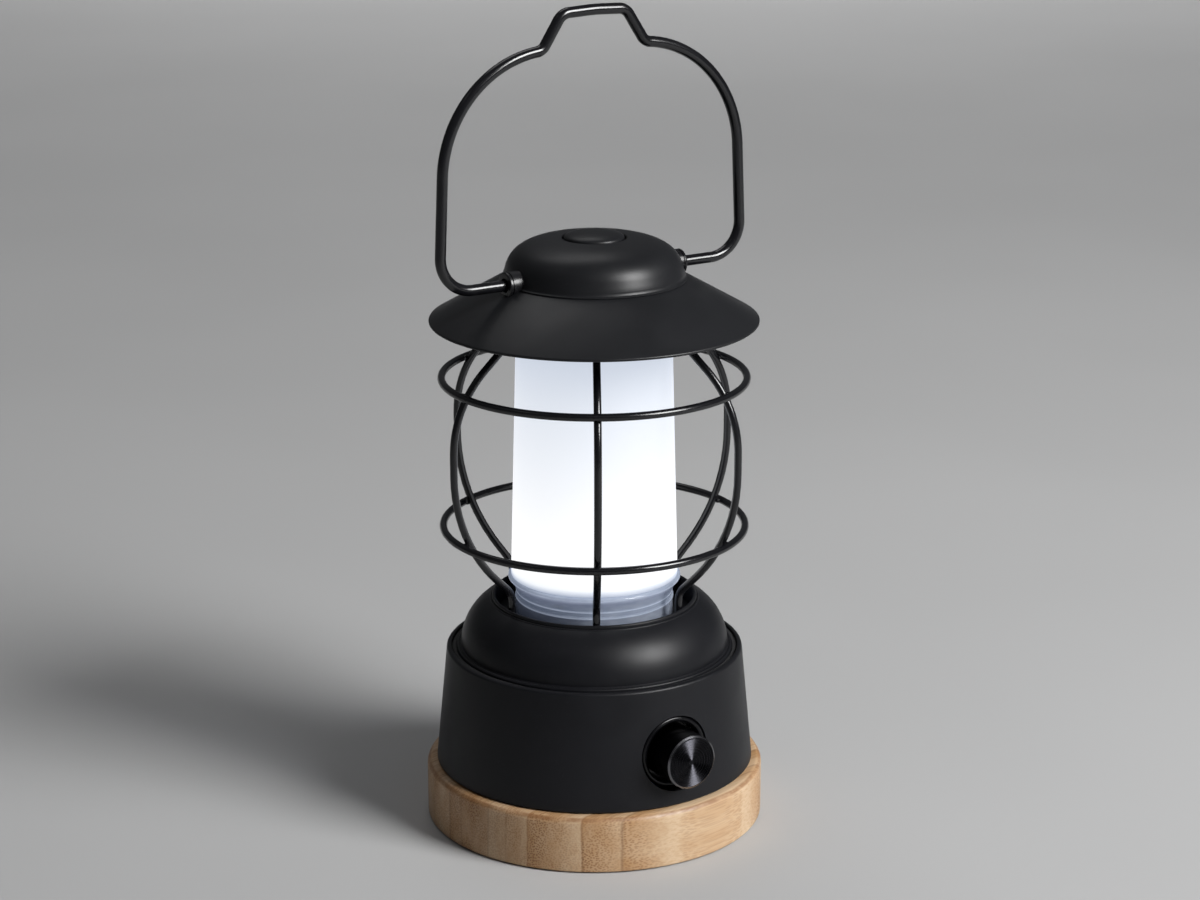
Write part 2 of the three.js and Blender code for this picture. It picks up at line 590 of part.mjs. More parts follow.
function portCover() {
  const c = COVER;
  const leaf = box(-c.halfWidth, c.halfWidth, c.back, c.front, c.bottom, c.top);
  const pull = box(-3, 3, c.front - 0.2, c.front + 0.7, c.top - 1.6, c.top - 0.4);
  const neck = box(-c.knuckleHalf, c.knuckleHalf, c.back + 0.2, c.front, c.pinZ, c.bottom + 0.5);
  const knuckle = rodAlongX(c.knuckle, -c.knuckleHalf, c.knuckleHalf, c.pinY, c.pinZ);
  const bore = rodAlongX(c.pinBore, -c.knuckleHalf - 1, c.knuckleHalf + 1, c.pinY, c.pinZ, ROUND_SMALL);
  return cut(join(leaf, pull, neck, knuckle), bore);
}

function addPort() {
  add('port_frame', portFrame(), FINISH.rubber());
  add('usb_socket', usbSocket(), FINISH.steel());
  add('cover_pin', rodAlongX(COVER.pinRadius, -COVER.pinHalf, COVER.pinHalf, COVER.pinY, COVER.pinZ, 10),
    FINISH.steel());
  add('port_cover', portCover(), FINISH.rubber());
}

// ----------------------------------------------------------------- internals

function batteryHolder() {
  const h = HOLDER;
  const floor = box(-h.halfLength, h.halfLength, -h.halfWidth, h.halfWidth, h.bottom, h.bottom + h.floor);
  const end = (side) => box(side * (h.halfLength - h.wall / 2) - h.wall / 2, side * (h.halfLength - h.wall / 2)
    + h.wall / 2, -h.halfWidth, h.halfWidth, h.bottom, h.bottom + h.floor + h.wallHeight);
  return join(floor, end(-1), end(1));
}

function lead(side) {
  const at = (sway, z) => new THREE.Vector3(side * LEAD.x, sway, z);
  return wire([at(0, BOARD.top + GAP), at(0, 46), at(LEAD.sway, 58), at(0, 70), at(0, LEAD.top)],
    [8, 8, 8], LEAD.radius, 10, 6);
}

function addInternals() {
  add('battery_holder', batteryHolder(), FINISH.holder());
  for (const [name, side] of [['battery_cell_front', -1], ['battery_cell_back', 1]]) {
    add(name, rodAlongX(CELL.radius, -CELL.length / 2, CELL.length / 2, side * CELL.spacing / 2, CELL.z,
      ROUND_MEDIUM), FINISH.cellWrap());
  }
  add('control_board', box(-BOARD.halfWidth, BOARD.halfWidth, BOARD.minY, BOARD.maxY, BOARD.bottom, BOARD.top),
    FINISH.boardGreen());
  add('led_lead_positive', lead(1), FINISH.leadRed());
  add('led_lead_negative', lead(-1), FINISH.leadBlack());
}

addBase();
addHousing();
addLight();
addCage();
addRoof();
add('bail', bail(), FINISH.wireCoat());
addDimmer();
addPort();
addInternals();

export default lantern;
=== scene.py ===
"""Looks of a rechargeable camping lantern, built round its fixed frame of CAD parts.

The lantern has a laminated bamboo foot ring, a satin black housing with a dimmer knob, a wire
cage round a lit opal diffuser, a wide rain shade with a round crown, and a swinging bail.
Lengths are metres and +Z is up. The knob faces -Y, the charging port +Y, the bail turns about X.
"""

import json
import logging
import math
from abc import ABC, abstractmethod
from collections.abc import Iterator, Sequence
from contextlib import contextmanager
from dataclasses import dataclass, field
from enum import Enum

import bpy
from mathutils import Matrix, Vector


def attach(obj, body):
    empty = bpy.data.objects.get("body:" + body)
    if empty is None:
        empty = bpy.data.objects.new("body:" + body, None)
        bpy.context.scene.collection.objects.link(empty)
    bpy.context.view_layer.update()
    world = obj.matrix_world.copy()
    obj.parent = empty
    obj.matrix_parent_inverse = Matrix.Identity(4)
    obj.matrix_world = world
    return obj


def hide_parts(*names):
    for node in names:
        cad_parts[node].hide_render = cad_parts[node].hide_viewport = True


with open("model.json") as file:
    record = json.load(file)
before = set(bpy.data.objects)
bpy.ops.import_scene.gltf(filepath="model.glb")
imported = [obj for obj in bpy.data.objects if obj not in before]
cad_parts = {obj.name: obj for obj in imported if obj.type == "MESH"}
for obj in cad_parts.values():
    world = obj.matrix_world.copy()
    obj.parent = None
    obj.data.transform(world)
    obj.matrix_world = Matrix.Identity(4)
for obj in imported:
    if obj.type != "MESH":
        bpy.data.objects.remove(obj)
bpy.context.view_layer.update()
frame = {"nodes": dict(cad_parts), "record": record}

MM = 0.001
FULL_TURN = math.tau
MERGE = 2e-6
SMOOTH_UNDER = 32.0
NOISE_SPAN = (0.3, 0.7)
MIX_FACTOR, MIX_FIRST, MIX_SECOND, MIX_RESULT = 0, 6, 7, 2

# Sizes that a finish or a second sub-assembly needs too.
FOOT_RADIUS, FOOT_TOP = 63 * MM, 21.5 * MM
COLLAR_LOW, COLLAR_TOP = 78.6 * MM, 93.9 * MM
OPAL_LOW, OPAL_TOP = 94.1 * MM, 192 * MM
BOLT_HOLE = 2.4 * MM
BAIL_PIVOT = 207.3 * MM
KNOB_HEIGHT = 41 * MM
KNOB_RADIUS, KNOB_FACE, KNOB_CHAMFER = 10 * MM, 67.5 * MM, 0.7 * MM

log = logging.getLogger("lantern")

Profile = list[tuple[float, float]]
Colour = tuple[float, float, float]
Place = Sequence[float]


class Body(Enum):
    """The bodies that pieces ride on."""

    ROOT = "root"
    BAIL = "bail"
    KNOB = "knob"
    PORT_COVER = "port_cover"


class Axis(Enum):
    """The way a turned piece's own axis points, as the rotation that takes +Z there."""

    UP = (0.0, 0.0, 0.0)
    FRONT = (math.pi / 2, 0.0, 0.0)
    RIGHT = (0.0, math.pi / 2, 0.0)
    LEFT = (0.0, -math.pi / 2, 0.0)


# ---------------------------------------------------------------- shaders


class Signal:
    """A number or colour that comes out of a shader node."""

    def __init__(self, recipe: "Recipe", socket: bpy.types.NodeSocket) -> None:
        """Wraps a socket of a recipe's node tree."""
        self.recipe = recipe
        self.socket = socket

    def _with(self, operation: str, first: "Signal | float", second: "Signal | float") -> "Signal":
        """Adds one Math node.

        Args:
            operation: the Math node's operation.
            first: its first value.
            second: its second value.

        Returns:
            The node's result.
        """
        return self.recipe.node("ShaderNodeMath", {"operation": operation}, {0: first, 1: second})

    def __add__(self, other: "Signal | float") -> "Signal":
        """Sum."""
        return self._with("ADD", self, other)

    __radd__ = __add__

    def __sub__(self, other: "Signal | float") -> "Signal":
        """Difference."""
        return self._with("SUBTRACT", self, other)

    def __rsub__(self, other: float) -> "Signal":
        """Difference from a number."""
        return self._with("SUBTRACT", other, self)

    def __mul__(self, other: "Signal | float") -> "Signal":
        """Product."""
        return self._with("MULTIPLY", self, other)

    __rmul__ = __mul__

    def __truediv__(self, other: "Signal | float") -> "Signal":
        """Quotient."""
        return self._with("DIVIDE", self, other)

    def __pow__(self, other: float) -> "Signal":
        """Power."""
        return self._with("POWER", self, other)


class Recipe:
    """One material's node tree, written as expressions."""

    def __init__(self, name: str) -> None:
        """Starts an empty node tree with an output node."""
        self.material = bpy.data.materials.new(name)
        self.material.use_nodes = True
        self.tree = self.material.node_tree
        self.tree.nodes.clear()
        self.output = self.tree.nodes.new("ShaderNodeOutputMaterial")

    def node(self, kind: str, settings: dict | None = None, inputs: dict | None = None,
             output: str | int = 0) -> Signal:
        """Adds a node.

        Args:
            kind: the node's type.
            settings: its properties; "stops" holds a ramp's (place, colour) pairs.
            inputs: values or signals for its sockets, by name or number.
            output: the socket that comes back.

        Returns:
            The named output as a signal.
        """
        node = self.tree.nodes.new(kind)
        for key, value in (settings or {}).items():
            if key == "stops":
                self._set_stops(node.color_ramp, value)
            else:
                setattr(node, key, value)
        for key, value in (inputs or {}).items():
            if isinstance(value, Signal):
                self.tree.links.new(value.socket, node.inputs[key])
            else:
                node.inputs[key].default_value = value
        return Signal(self, node.outputs[output])

    @staticmethod
    def _set_stops(ramp: bpy.types.ColorRamp, stops: Sequence[tuple[float, Colour]]) -> None:
        """Gives a colour ramp its stops, in order of place."""
        while len(ramp.elements) < len(stops):
            ramp.elements.new(1.0)
        for element, (place, colour) in zip(ramp.elements, stops):
            element.position = place
            element.color = (*colour, 1.0)

    def place(self) -> Signal:
        """The point's place in the lantern's frame."""
        return self.node("ShaderNodeTexCoord", output="Object")

    def mapped(self, vector: Signal, scale: Place, turn: float = 0.0,
               move: Place = (0.0, 0.0, 0.0)) -> Signal:
        """Scales a vector, turns it about Z and moves it.

        Args:
            vector: the vector.
            scale: factors along X, Y and Z, used first.
            turn: rotation about Z, in radians.
            move: shift, used last.

        Returns:
            The mapped vector.
        """
        return self.node("ShaderNodeMapping", {"vector_type": "POINT"},
                         {"Vector": vector, "Scale": tuple(scale), "Location": tuple(move),
                          "Rotation": (0.0, 0.0, turn)})

    def parts(self, vector: Signal) -> tuple[Signal, Signal, Signal]:
        """The X, Y and Z of a vector."""
        split = self.node("ShaderNodeSeparateXYZ", inputs={0: vector})
        outputs = split.socket.node.outputs
        return tuple(Signal(self, outputs[i]) for i in range(3))

    def noise(self, vector: Signal, scale: float, detail: float = 2.0, roughness: float = 0.5) -> Signal:
        """Soft noise from 0 to 1 at a scale in cells per unit of the vector."""
        return self.node("ShaderNodeTexNoise", {"noise_dimensions": "3D"},
                         {"Vector": vector, "Scale": scale, "Detail": detail, "Roughness": roughness})

    def ramp(self, value: Signal, low: float, high: float, start: float = 0.0, end: float = 1.0,
             smooth: bool = True) -> Signal:
        """Maps low..high to start..end, held beyond both ends.

        Args:
            value: the number that is mapped.
            low: where the ramp starts.
            high: where it ends.
            start: its value at low.
            end: its value at high.
            smooth: whether it eases in and out.

        Returns:
            The mapped number.
        """
        kind = "SMOOTHSTEP" if smooth else "LINEAR"
        return self.node("ShaderNodeMapRange", {"interpolation_type": kind, "clamp": True},
                         {"Value": value, "From Min": low, "From Max": high,
                          "To Min": start, "To Max": end})

    def spread(self, noise: Signal, start: float = 0.0, end: float = 1.0) -> Signal:
        """Stretches the span that a noise mostly keeps to over start..end."""
        return self.ramp(noise, *NOISE_SPAN, start, end)

    def mix(self, factor: Signal | float, first: Signal | Colour, second: Signal | Colour) -> Signal:
        """Mixes two colours.

        Args:
            factor: 0 for the first, 1 for the second.
            first: a colour or a signal.
            second: a colour or a signal.

        Returns:
            The mixed colour.
        """
        ends = [(*c, 1.0) if isinstance(c, tuple) else c for c in (first, second)]
        return self.node("ShaderNodeMix", {"data_type": "RGBA"},
                         {MIX_FACTOR: factor, MIX_FIRST: ends[0], MIX_SECOND: ends[1]}, output=MIX_RESULT)

    def bump(self, height: Signal, depth: float, strength: float = 1.0) -> Signal:
        """Turns a height from 0 to 1 into a surface normal, for relief of the given depth."""
        return self.node("ShaderNodeBump", inputs={"Height": height, "Distance": depth,
                                                   "Strength": strength})

    def surface(self, **sockets: object) -> Signal:
        """Adds the Principled shader; socket names are written with underscores for spaces."""
        inputs = {}
        for key, value in sockets.items():
            is_colour = isinstance(value, tuple) and len(value) == 3
            inputs[key.replace("_", " ")] = (*value, 1.0) if is_colour else value
        return self.node("ShaderNodeBsdfPrincipled", inputs=inputs)

    def done(self, shader: Signal) -> bpy.types.Material:
        """Connects the shader to the output and gives back the material."""
        self.tree.links.new(shader.socket, self.output.inputs["Surface"])
        return self.material


def shaded(colour: Colour, factor: float) -> Colour:
    """A colour made darker or lighter by a factor."""
    return tuple(factor * channel for channel in colour)


# ---------------------------------------------------------------- finishes


@dataclass(frozen=True)
class Finish(ABC):
    """A finish: a record slot and the material that shows it."""

    slot: str

    @abstractmethod
    def material(self) -> bpy.types.Material:
        """Makes the finish's material."""


@dataclass(frozen=True)
class BakedCoat(Finish):
    """Baked or moulded black with a fine texture and slightly uneven gloss."""

    colour: Colour = (0.0052, 0.0054, 0.0068)
    gloss: tuple[float, float] = (0.40, 0.48)
    grain: float = 2600.0
    grain_depth: float = 0.00002
    dust: float = 0.05
    shine: float = 0.22

    def material(self) -> bpy.types.Material:
        """Makes the coat with its grain, cloudy gloss and a trace of dust."""
        r = Recipe(self.slot)
        place = r.place()
        grain = r.noise(place, self.grain, 3.0, 0.6)
        cloud = r.noise(place, 34.0, 3.0, 0.55)
        specks = r.ramp(r.noise(place, 900.0, 1.0), 0.70, 0.78, 0.0, self.dust)
        shade = r.mix(r.spread(cloud), self.colour, shaded(self.colour, 1.25))
        colour = r.mix(specks, shade, (0.09, 0.09, 0.095))
        rough = r.spread(cloud, *self.gloss) + r.spread(grain, -0.03, 0.03)
        return r.done(r.surface(Base_Color=colour, Roughness=rough, Specular_IOR_Level=self.shine,
                                Normal=r.bump(grain, self.grain_depth)))


@dataclass(frozen=True)
class LaminatedBamboo(Finish):
    """A ring cut from a board of upright bamboo strips: fibre ends in front, long grain at the side.

    Each strip is the place of its edge across the board in millimetres, and its tone at both edges.
    """

    light: Colour = (0.54, 0.395, 0.255)
    warm: Colour = (0.37, 0.20, 0.082)
    fibre: Colour = (0.19, 0.08, 0.026)
    glue: Colour = (0.15, 0.07, 0.028)
    grain_turn: float = math.radians(13.6)
    ring_radius: float = FOOT_RADIUS
    top: float = FOOT_TOP
    joint: float = 0.02
    glue_half: float = 0.22
    strips: tuple[tuple[float, float, float], ...] = (
        (-63.0, 0.4, 0.6), (-53.0, 0.2, 0.3), (-44.0, 0.85, 0.5), (-36.0, 0.3, 0.5), (-28.5, 0.8, 0.4),
        (-20.5, 0.35, 0.5), (-13.8, 0.9, 0.7), (-6.5, 0.75, 0.95), (0.3, 0.8, 0.55), (7.8, 0.35, 0.5),
        (15.6, 0.65, 0.4), (24.0, 1.0, 0.15), (41.3, 0.9, 0.3), (51.2, 0.8, 0.0), (60.8, 0.25, 0.1))

    def _across_ramp(self, r: Recipe, place: Signal, stops: Sequence[tuple[float, Colour]]) -> Signal:
        """Adds a ramp whose stops are places across the board, in millimetres."""
        span = 2 * self.ring_radius
        placed = [(max(edge * MM / span + 0.5, 0.0), colour) for edge, colour in stops]
        return r.node("ShaderNodeValToRGB", {"stops": placed}, {0: place / span + 0.5})

    def material(self) -> bpy.types.Material:
        """Makes the strips, their glue lines, the fibre ends and streaks, and the painted shade along the
        top rounding.
        """
        r = Recipe(self.slot)
        place = r.place()
        board = r.mapped(place, (1, 1, 1), turn=-self.grain_turn)
        along, back, up = r.parts(board)
        across = back * -1.0 + r.ramp(r.noise(board, 70.0, 1.0), 0.0, 1.0, -0.3 * MM, 0.3 * MM)
        tones, glue_stops = [], []
        for (edge, start, _), (_, _, before) in zip(self.strips, (self.strips[0], *self.strips)):
            tones += [(edge - self.joint, (before,) * 3), (edge, (start,) * 3)]
            glue_stops += [(edge - self.glue_half, (0, 0, 0)), (edge, (1, 1, 1)),
                           (edge + self.glue_half, (0, 0, 0))]
        half = 3 * (len(self.strips) // 2)
        tone = self._across_ramp(r, across, tones)
        glue = (self._across_ramp(r, across, glue_stops[3:half])
                + self._across_ramp(r, across, glue_stops[half:]))
        section = r.node("ShaderNodeCombineXYZ", inputs={0: across + along * 0.012, 1: up + along * 0.006})
        dots = r.node("ShaderNodeTexVoronoi", {"feature": "F1", "voronoi_dimensions": "2D"},
                      {"Vector": section, "Scale": 1250.0, "Randomness": 0.9})
        crowd = r.ramp(r.noise(r.mapped(board, (0.1, 1, 0.5)), 150.0, 2.0), 0.32, 0.6, 0.35, 1.0)
        ends = r.ramp(dots, 0.20, 0.48, 1.0, 0.0) * crowd * (tone * 0.95 + 0.05)
        streaks = r.noise(r.mapped(board, (0.015, 1, 1)), 1500.0, 3.0, 0.6)
        broad = r.noise(r.mapped(board, (0.05, 1, 0.5)), 210.0, 2.0)
        base = r.mix(tone * 0.85 + r.spread(broad, -0.1, 0.25), self.light, self.warm)
        base = r.mix(r.ramp(streaks, 0.42, 0.72, 0.0, 0.35), base, self.warm)
        base = r.mix(ends * 0.9, base, self.fibre)
        base = r.mix(glue * 0.55, base, self.glue)
        # Painted shade: a darker brown band along the top rounding, broken up by noise.
        painted_rounding_shade = (r.ramp(up, self.top - 1.9 * MM, self.top - 1.1 * MM)
                 * r.ramp(up, self.top - 0.1 * MM, self.top - 0.5 * MM))
        patchy = r.ramp(r.noise(place, 160.0, 3.0), 0.3, 0.65, 0.25, 0.8)
        colour = r.mix(painted_rounding_shade * patchy * 0.9, base, self.fibre)
        height = streaks * 0.5 + (1.0 - ends) * 0.5 - glue * 0.5
        rough = r.spread(streaks, 0.40, 0.54) + ends * 0.08
        return r.done(r.surface(Base_Color=colour, Roughness=rough, Normal=r.bump(height, 0.00006, 0.6)))


@dataclass(frozen=True)
class MouldedRubber(Finish):
    """Matt black rubber with a fine, slightly dusty skin."""

    colour: Colour = (0.014, 0.014, 0.015)

    def material(self) -> bpy.types.Material:
        """Makes the skin with its fine pits and pale rub marks."""
        r = Recipe(self.slot)
        place = r.place()
        pits = r.noise(place, 3200.0, 2.0, 0.7)
        rubs = r.ramp(r.noise(place, 70.0, 4.0, 0.6), 0.52, 0.75, 0.0, 0.3)
        colour = r.mix(rubs, self.colour, (0.05, 0.05, 0.052))
        rough = r.spread(pits, 0.66, 0.82)
        return r.done(r.surface(Base_Color=colour, Roughness=rough, Normal=r.bump(pits, 0.00004)))


@dataclass(frozen=True)
class LitOpal(Finish):
    """Opal plastic with the lamp burning inside: white low down, cooler near the top."""

    bottom: float = OPAL_LOW
    top: float = OPAL_TOP
    power: float = 1.0

    def material(self) -> bpy.types.Material:
        """Makes the glow from the height, and the frosted skin over it."""
        r = Recipe(self.slot)
        place = r.place()
        _, _, up = r.parts(place)
        haze = r.noise(place, 45.0, 3.0)
        height = r.ramp(up, self.bottom, self.top, smooth=False) + r.spread(haze, -0.002, 0.002)
        stops = ((0.0, (0.36, 0.41, 0.51)), (0.008, (0.55, 0.60, 0.70)), (0.024, (0.92, 0.95, 0.99)),
                 (0.045, (1.0, 1.0, 1.0)), (0.25, (0.97, 0.98, 1.0)), (0.48, (0.84, 0.87, 0.92)),
                 (0.70, (0.73, 0.77, 0.84)), (0.85, (0.62, 0.67, 0.76)), (1.0, (0.50, 0.55, 0.65)))
        glow = r.node("ShaderNodeValToRGB", {"stops": stops}, {0: height})
        frost = r.noise(place, 2400.0, 2.0)
        return r.done(r.surface(Base_Color=(0.10, 0.105, 0.115),
                                Roughness=r.spread(frost, 0.38, 0.5), Emission_Color=glow,
                                Emission_Strength=self.power, Normal=r.bump(frost, 0.00001)))


@dataclass(frozen=True)
class ClearPlastic(Finish):
    """Clear collar with the lamp's light painted into its steps: painted glow and highlights in bands up its
    height.
    """

    bottom: float = COLLAR_LOW
    top: float = COLLAR_TOP

    def material(self) -> bpy.types.Material:
        """Makes tinted clear plastic, hazy with fine moulding marks, with painted glow lines where the steps
        catch the lamp's light.
        """
        r = Recipe(self.slot)
        place = r.place()
        _, _, up = r.parts(place)
        marks = r.noise(r.mapped(place, (1, 1, 3)), 150.0, 2.0)
        height = r.ramp(up, self.bottom, self.top, smooth=False)
        # Painted light: emission bands by height stand for the lamp's light caught in the steps; the bright
        # lines are painted highlights.
        stops = ((0.0, (0.004, 0.005, 0.007)), (0.40, (0.03, 0.035, 0.05)), (0.435, (0.30, 0.34, 0.43)),
                 (0.47, (0.07, 0.085, 0.12)), (0.555, (0.08, 0.10, 0.14)), (0.585, (0.36, 0.40, 0.50)),
                 (0.62, (0.09, 0.11, 0.155)), (0.82, (0.13, 0.15, 0.21)), (0.92, (0.34, 0.38, 0.48)),
                 (0.96, (0.20, 0.23, 0.30)), (1.0, (0.26, 0.30, 0.38)))
        glow = r.node("ShaderNodeValToRGB", {"stops": stops}, {0: height})
        tint = r.mix(r.ramp(marks, 0.35, 0.65), (0.24, 0.27, 0.33), (0.30, 0.33, 0.39))
        return r.done(r.surface(Base_Color=tint, Roughness=r.spread(marks, 0.10, 0.2),
                                Transmission_Weight=0.4, IOR=1.49, Emission_Color=glow,
                                Emission_Strength=0.62, Normal=r.bump(marks, 0.00001)))


@dataclass(frozen=True)
class Metal(Finish):
    """Bare, plated or anodised metal with fine scratches and tarnish."""

    colour: Colour = (0.62, 0.63, 0.65)
    gloss: tuple[float, float] = (0.24, 0.38)
    stretch: tuple[float, float, float] = (1.0, 1.0, 1.0)
    metallic: float = 1.0

    def material(self) -> bpy.types.Material:
        """Makes the metal with scratches along its stretch."""
        r = Recipe(self.slot)
        place = r.place()
        scratches = r.noise(r.mapped(place, self.stretch), 1900.0, 3.0, 0.65)
        cloud = r.noise(place, 110.0, 3.0)
        colour = r.mix(r.spread(cloud), self.colour, shaded(self.colour, 0.8))
        rough = r.spread(scratches, *self.gloss)
        return r.done(r.surface(Base_Color=colour, Metallic=self.metallic, Roughness=rough,
                                Normal=r.bump(scratches, 0.00001)))


@dataclass(frozen=True)
class SpunAnodised(Finish):
    """Black anodised metal with a turned face and a bright, diamond-cut chamfer."""

    black: Colour = (0.013, 0.013, 0.015)
    bright: Colour = (0.15, 0.15, 0.16)
    axis_height: float = KNOB_HEIGHT
    radius: float = KNOB_RADIUS
    face: float = KNOB_FACE
    chamfer: float = KNOB_CHAMFER

    def material(self) -> bpy.types.Material:
        """Makes the black with its rings, and bares the metal on the chamfer."""
        r = Recipe(self.slot)
        centred = r.mapped(r.place(), (1, 1, 1), move=(0.0, 0.0, -self.axis_height))
        x, depth, z = r.parts(centred)
        reach = (x * x + z * z) ** 0.5
        front = r.ramp(depth * -1.0, self.face - 1.1 * self.chamfer, self.face - 0.9 * self.chamfer)
        outer = r.ramp(reach, self.radius - 0.98 * self.chamfer, self.radius - 0.85 * self.chamfer)
        rings = r.noise(r.node("ShaderNodeCombineXYZ", inputs={0: reach}), 4200.0, 2.0)
        shade = r.mix(r.spread(rings), self.black, shaded(self.black, 1.5))
        colour = r.mix(front * outer, shade, self.bright)
        rough = r.spread(rings, 0.20, 0.30)
        return r.done(r.surface(Base_Color=colour, Metallic=1.0, Roughness=rough))


@dataclass(frozen=True)
class CircuitLacquer(Finish):
    """A circuit board: lacquer over copper tracks, with pale pads."""

    lacquer: Colour = (0.012, 0.10, 0.04)
    track: Colour = (0.03, 0.20, 0.08)
    pad: Colour = (0.55, 0.52, 0.42)

    def material(self) -> bpy.types.Material:
        """Makes the tracks from a cell pattern and the pads from dots."""
        r = Recipe(self.slot)
        place = r.place()
        cells = r.node("ShaderNodeTexVoronoi", {"distance": "MANHATTAN", "feature": "F1"},
                       {"Vector": place, "Scale": 240.0})
        tracks = r.ramp(cells, 0.42, 0.5)
        dots = r.node("ShaderNodeTexVoronoi", {"feature": "F1"}, {"Vector": place, "Scale": 420.0})
        colour = r.mix(tracks, self.lacquer, self.track)
        colour = r.mix(r.ramp(dots, 0.16, 0.12), colour, self.pad)
        return r.done(r.surface(Base_Color=colour, Roughness=r.ramp(tracks, 0.0, 1.0, 0.32, 0.45),
                                Normal=r.bump(tracks, 0.00003)))


@dataclass(frozen=True)
class SoftSkin(Finish):
    """A thin plastic skin, such as a cell's wrap, a wire's sleeve or a lamp chip's gel."""

    colour: Colour = (0.03, 0.16, 0.42)
    gloss: tuple[float, float] = (0.28, 0.42)
    mottle: float = 0.18

    def material(self) -> bpy.types.Material:
        """Makes the skin with faint wrinkles and mottling."""
        r = Recipe(self.slot)
        place = r.place()
        wrinkles = r.noise(r.mapped(place, (0.3, 1, 1)), 520.0, 3.0)
        colour = r.mix(r.spread(wrinkles), self.colour, shaded(self.colour, 1 - self.mottle))
        return r.done(r.surface(Base_Color=colour, Roughness=r.spread(wrinkles, *self.gloss),
                                Normal=r.bump(wrinkles, 0.00003)))


class FinishRack:
    """Every finish of the lantern, each made once."""

    FINISHES: tuple[Finish, ...] = (
        BakedCoat("black_housing"),
        BakedCoat("black_roof", colour=(0.0075, 0.0078, 0.0090), gloss=(0.35, 0.43), shine=0.29),
        BakedCoat("cage_wire", colour=(0.004, 0.004, 0.005), gloss=(0.17, 0.24), grain=1700.0,
                  grain_depth=0.000006, shine=0.5),
        BakedCoat("bail_wire", colour=(0.004, 0.004, 0.005), gloss=(0.16, 0.23), grain=1500.0,
                  grain_depth=0.000006, shine=0.5),
        BakedCoat("bail_lugs", colour=(0.005, 0.005, 0.006), gloss=(0.24, 0.32), grain=1200.0,
                  grain_depth=0.000005, shine=0.4),
        BakedCoat("bezel_gloss", colour=(0.002, 0.002, 0.0025), gloss=(0.18, 0.25), grain=900.0,
                  grain_depth=0.000003, dust=0.01, shine=0.2),
        LaminatedBamboo("bamboo"),
        MouldedRubber("rubber"),
        LitOpal("opal_diffuser"),
        ClearPlastic("clear_collar"),
        SpunAnodised("knob_metal"),
        Metal("plated_steel"),
        Metal("aluminium_plate", colour=(0.72, 0.73, 0.74), gloss=(0.3, 0.45), stretch=(0.05, 1.0, 1.0)),
        CircuitLacquer("circuit_board"),
        CircuitLacquer("led_board", lacquer=(0.78, 0.78, 0.74), track=(0.68, 0.68, 0.66)),
        SoftSkin("led_phosphor", colour=(0.80, 0.66, 0.16), gloss=(0.2, 0.3), mottle=0.1),
        SoftSkin("cell_wrap"),
        SoftSkin("holder_plastic", colour=(0.025, 0.025, 0.027), gloss=(0.42, 0.55)),
        SoftSkin("lead_red", colour=(0.42, 0.015, 0.01)),
        SoftSkin("lead_black", colour=(0.012, 0.012, 0.012)),
    )

    def __init__(self) -> None:
        """Makes all the materials."""
        self.materials = {finish.slot: finish.material() for finish in self.FINISHES}

    def dress(self, piece: bpy.types.Object, slot: str) -> None:
        """Gives a new piece the finish of a record slot."""
        piece.data.materials.clear()
        piece.data.materials.append(self.materials[slot])

    def dress_frame(self) -> int:
        """Gives every CAD node the finish that the record names for it.

        Returns:
            How many nodes were dressed.
        """
        for subpart in frame["record"]["subparts"]:
            node = frame["nodes"][subpart["node"]]
            for holder in node.material_slots:
                holder.material = self.materials[subpart["material_slot"]]
        return len(frame["record"]["subparts"])


# ---------------------------------------------------------------- bench tools


@contextmanager
def edit_mode() -> Iterator[None]:
    """Edits the active piece, and leaves edit mode afterwards."""
    bpy.ops.object.mode_set(mode="EDIT")
    yield
    bpy.ops.object.mode_set(mode="OBJECT")


def pick(piece: bpy.types.Object, *others: bpy.types.Object) -> None:
    """Selects only these pieces and makes the first one active."""
    bpy.ops.object.select_all(action="DESELECT")
    for one in (piece, *others):
        one.select_set(True)
    bpy.context.view_layer.objects.active = piece


def new_piece(name: str) -> bpy.types.Object:
    """Names the primitive that was just added, and gives it back."""
    piece = bpy.context.active_object
    piece.name = name
    piece.data.name = name
    return piece


def settle(piece: bpy.types.Object, smooth_degrees: float = SMOOTH_UNDER) -> bpy.types.Object:
    """Applies the piece's transform and shades it.

    Args:
        piece: the piece.
        smooth_degrees: the angle up to which edges are smooth.

    Returns:
        The piece.
    """
    pick(piece)
    bpy.ops.object.transform_apply(location=True, rotation=True, scale=True)
    bpy.ops.object.shade_smooth_by_angle(angle=math.radians(smooth_degrees))
    return piece


def arc(centre: tuple[float, float], size: tuple[float, float], start: float, end: float,
        steps: int) -> Profile:
    """Points of an elliptic arc in a turned piece's profile.

    Args:
        centre: the arc's centre, (radius, height).
        size: its half width and half height.
        start: its first angle in degrees.
        end: its last angle in degrees.
        steps: how many chords it has.

    Returns:
        The points, with both ends.
    """
    angles = (math.radians(start + (end - start) * i / steps) for i in range(steps + 1))
    return [(centre[0] + size[0] * math.cos(a), centre[1] + size[1] * math.sin(a)) for a in angles]


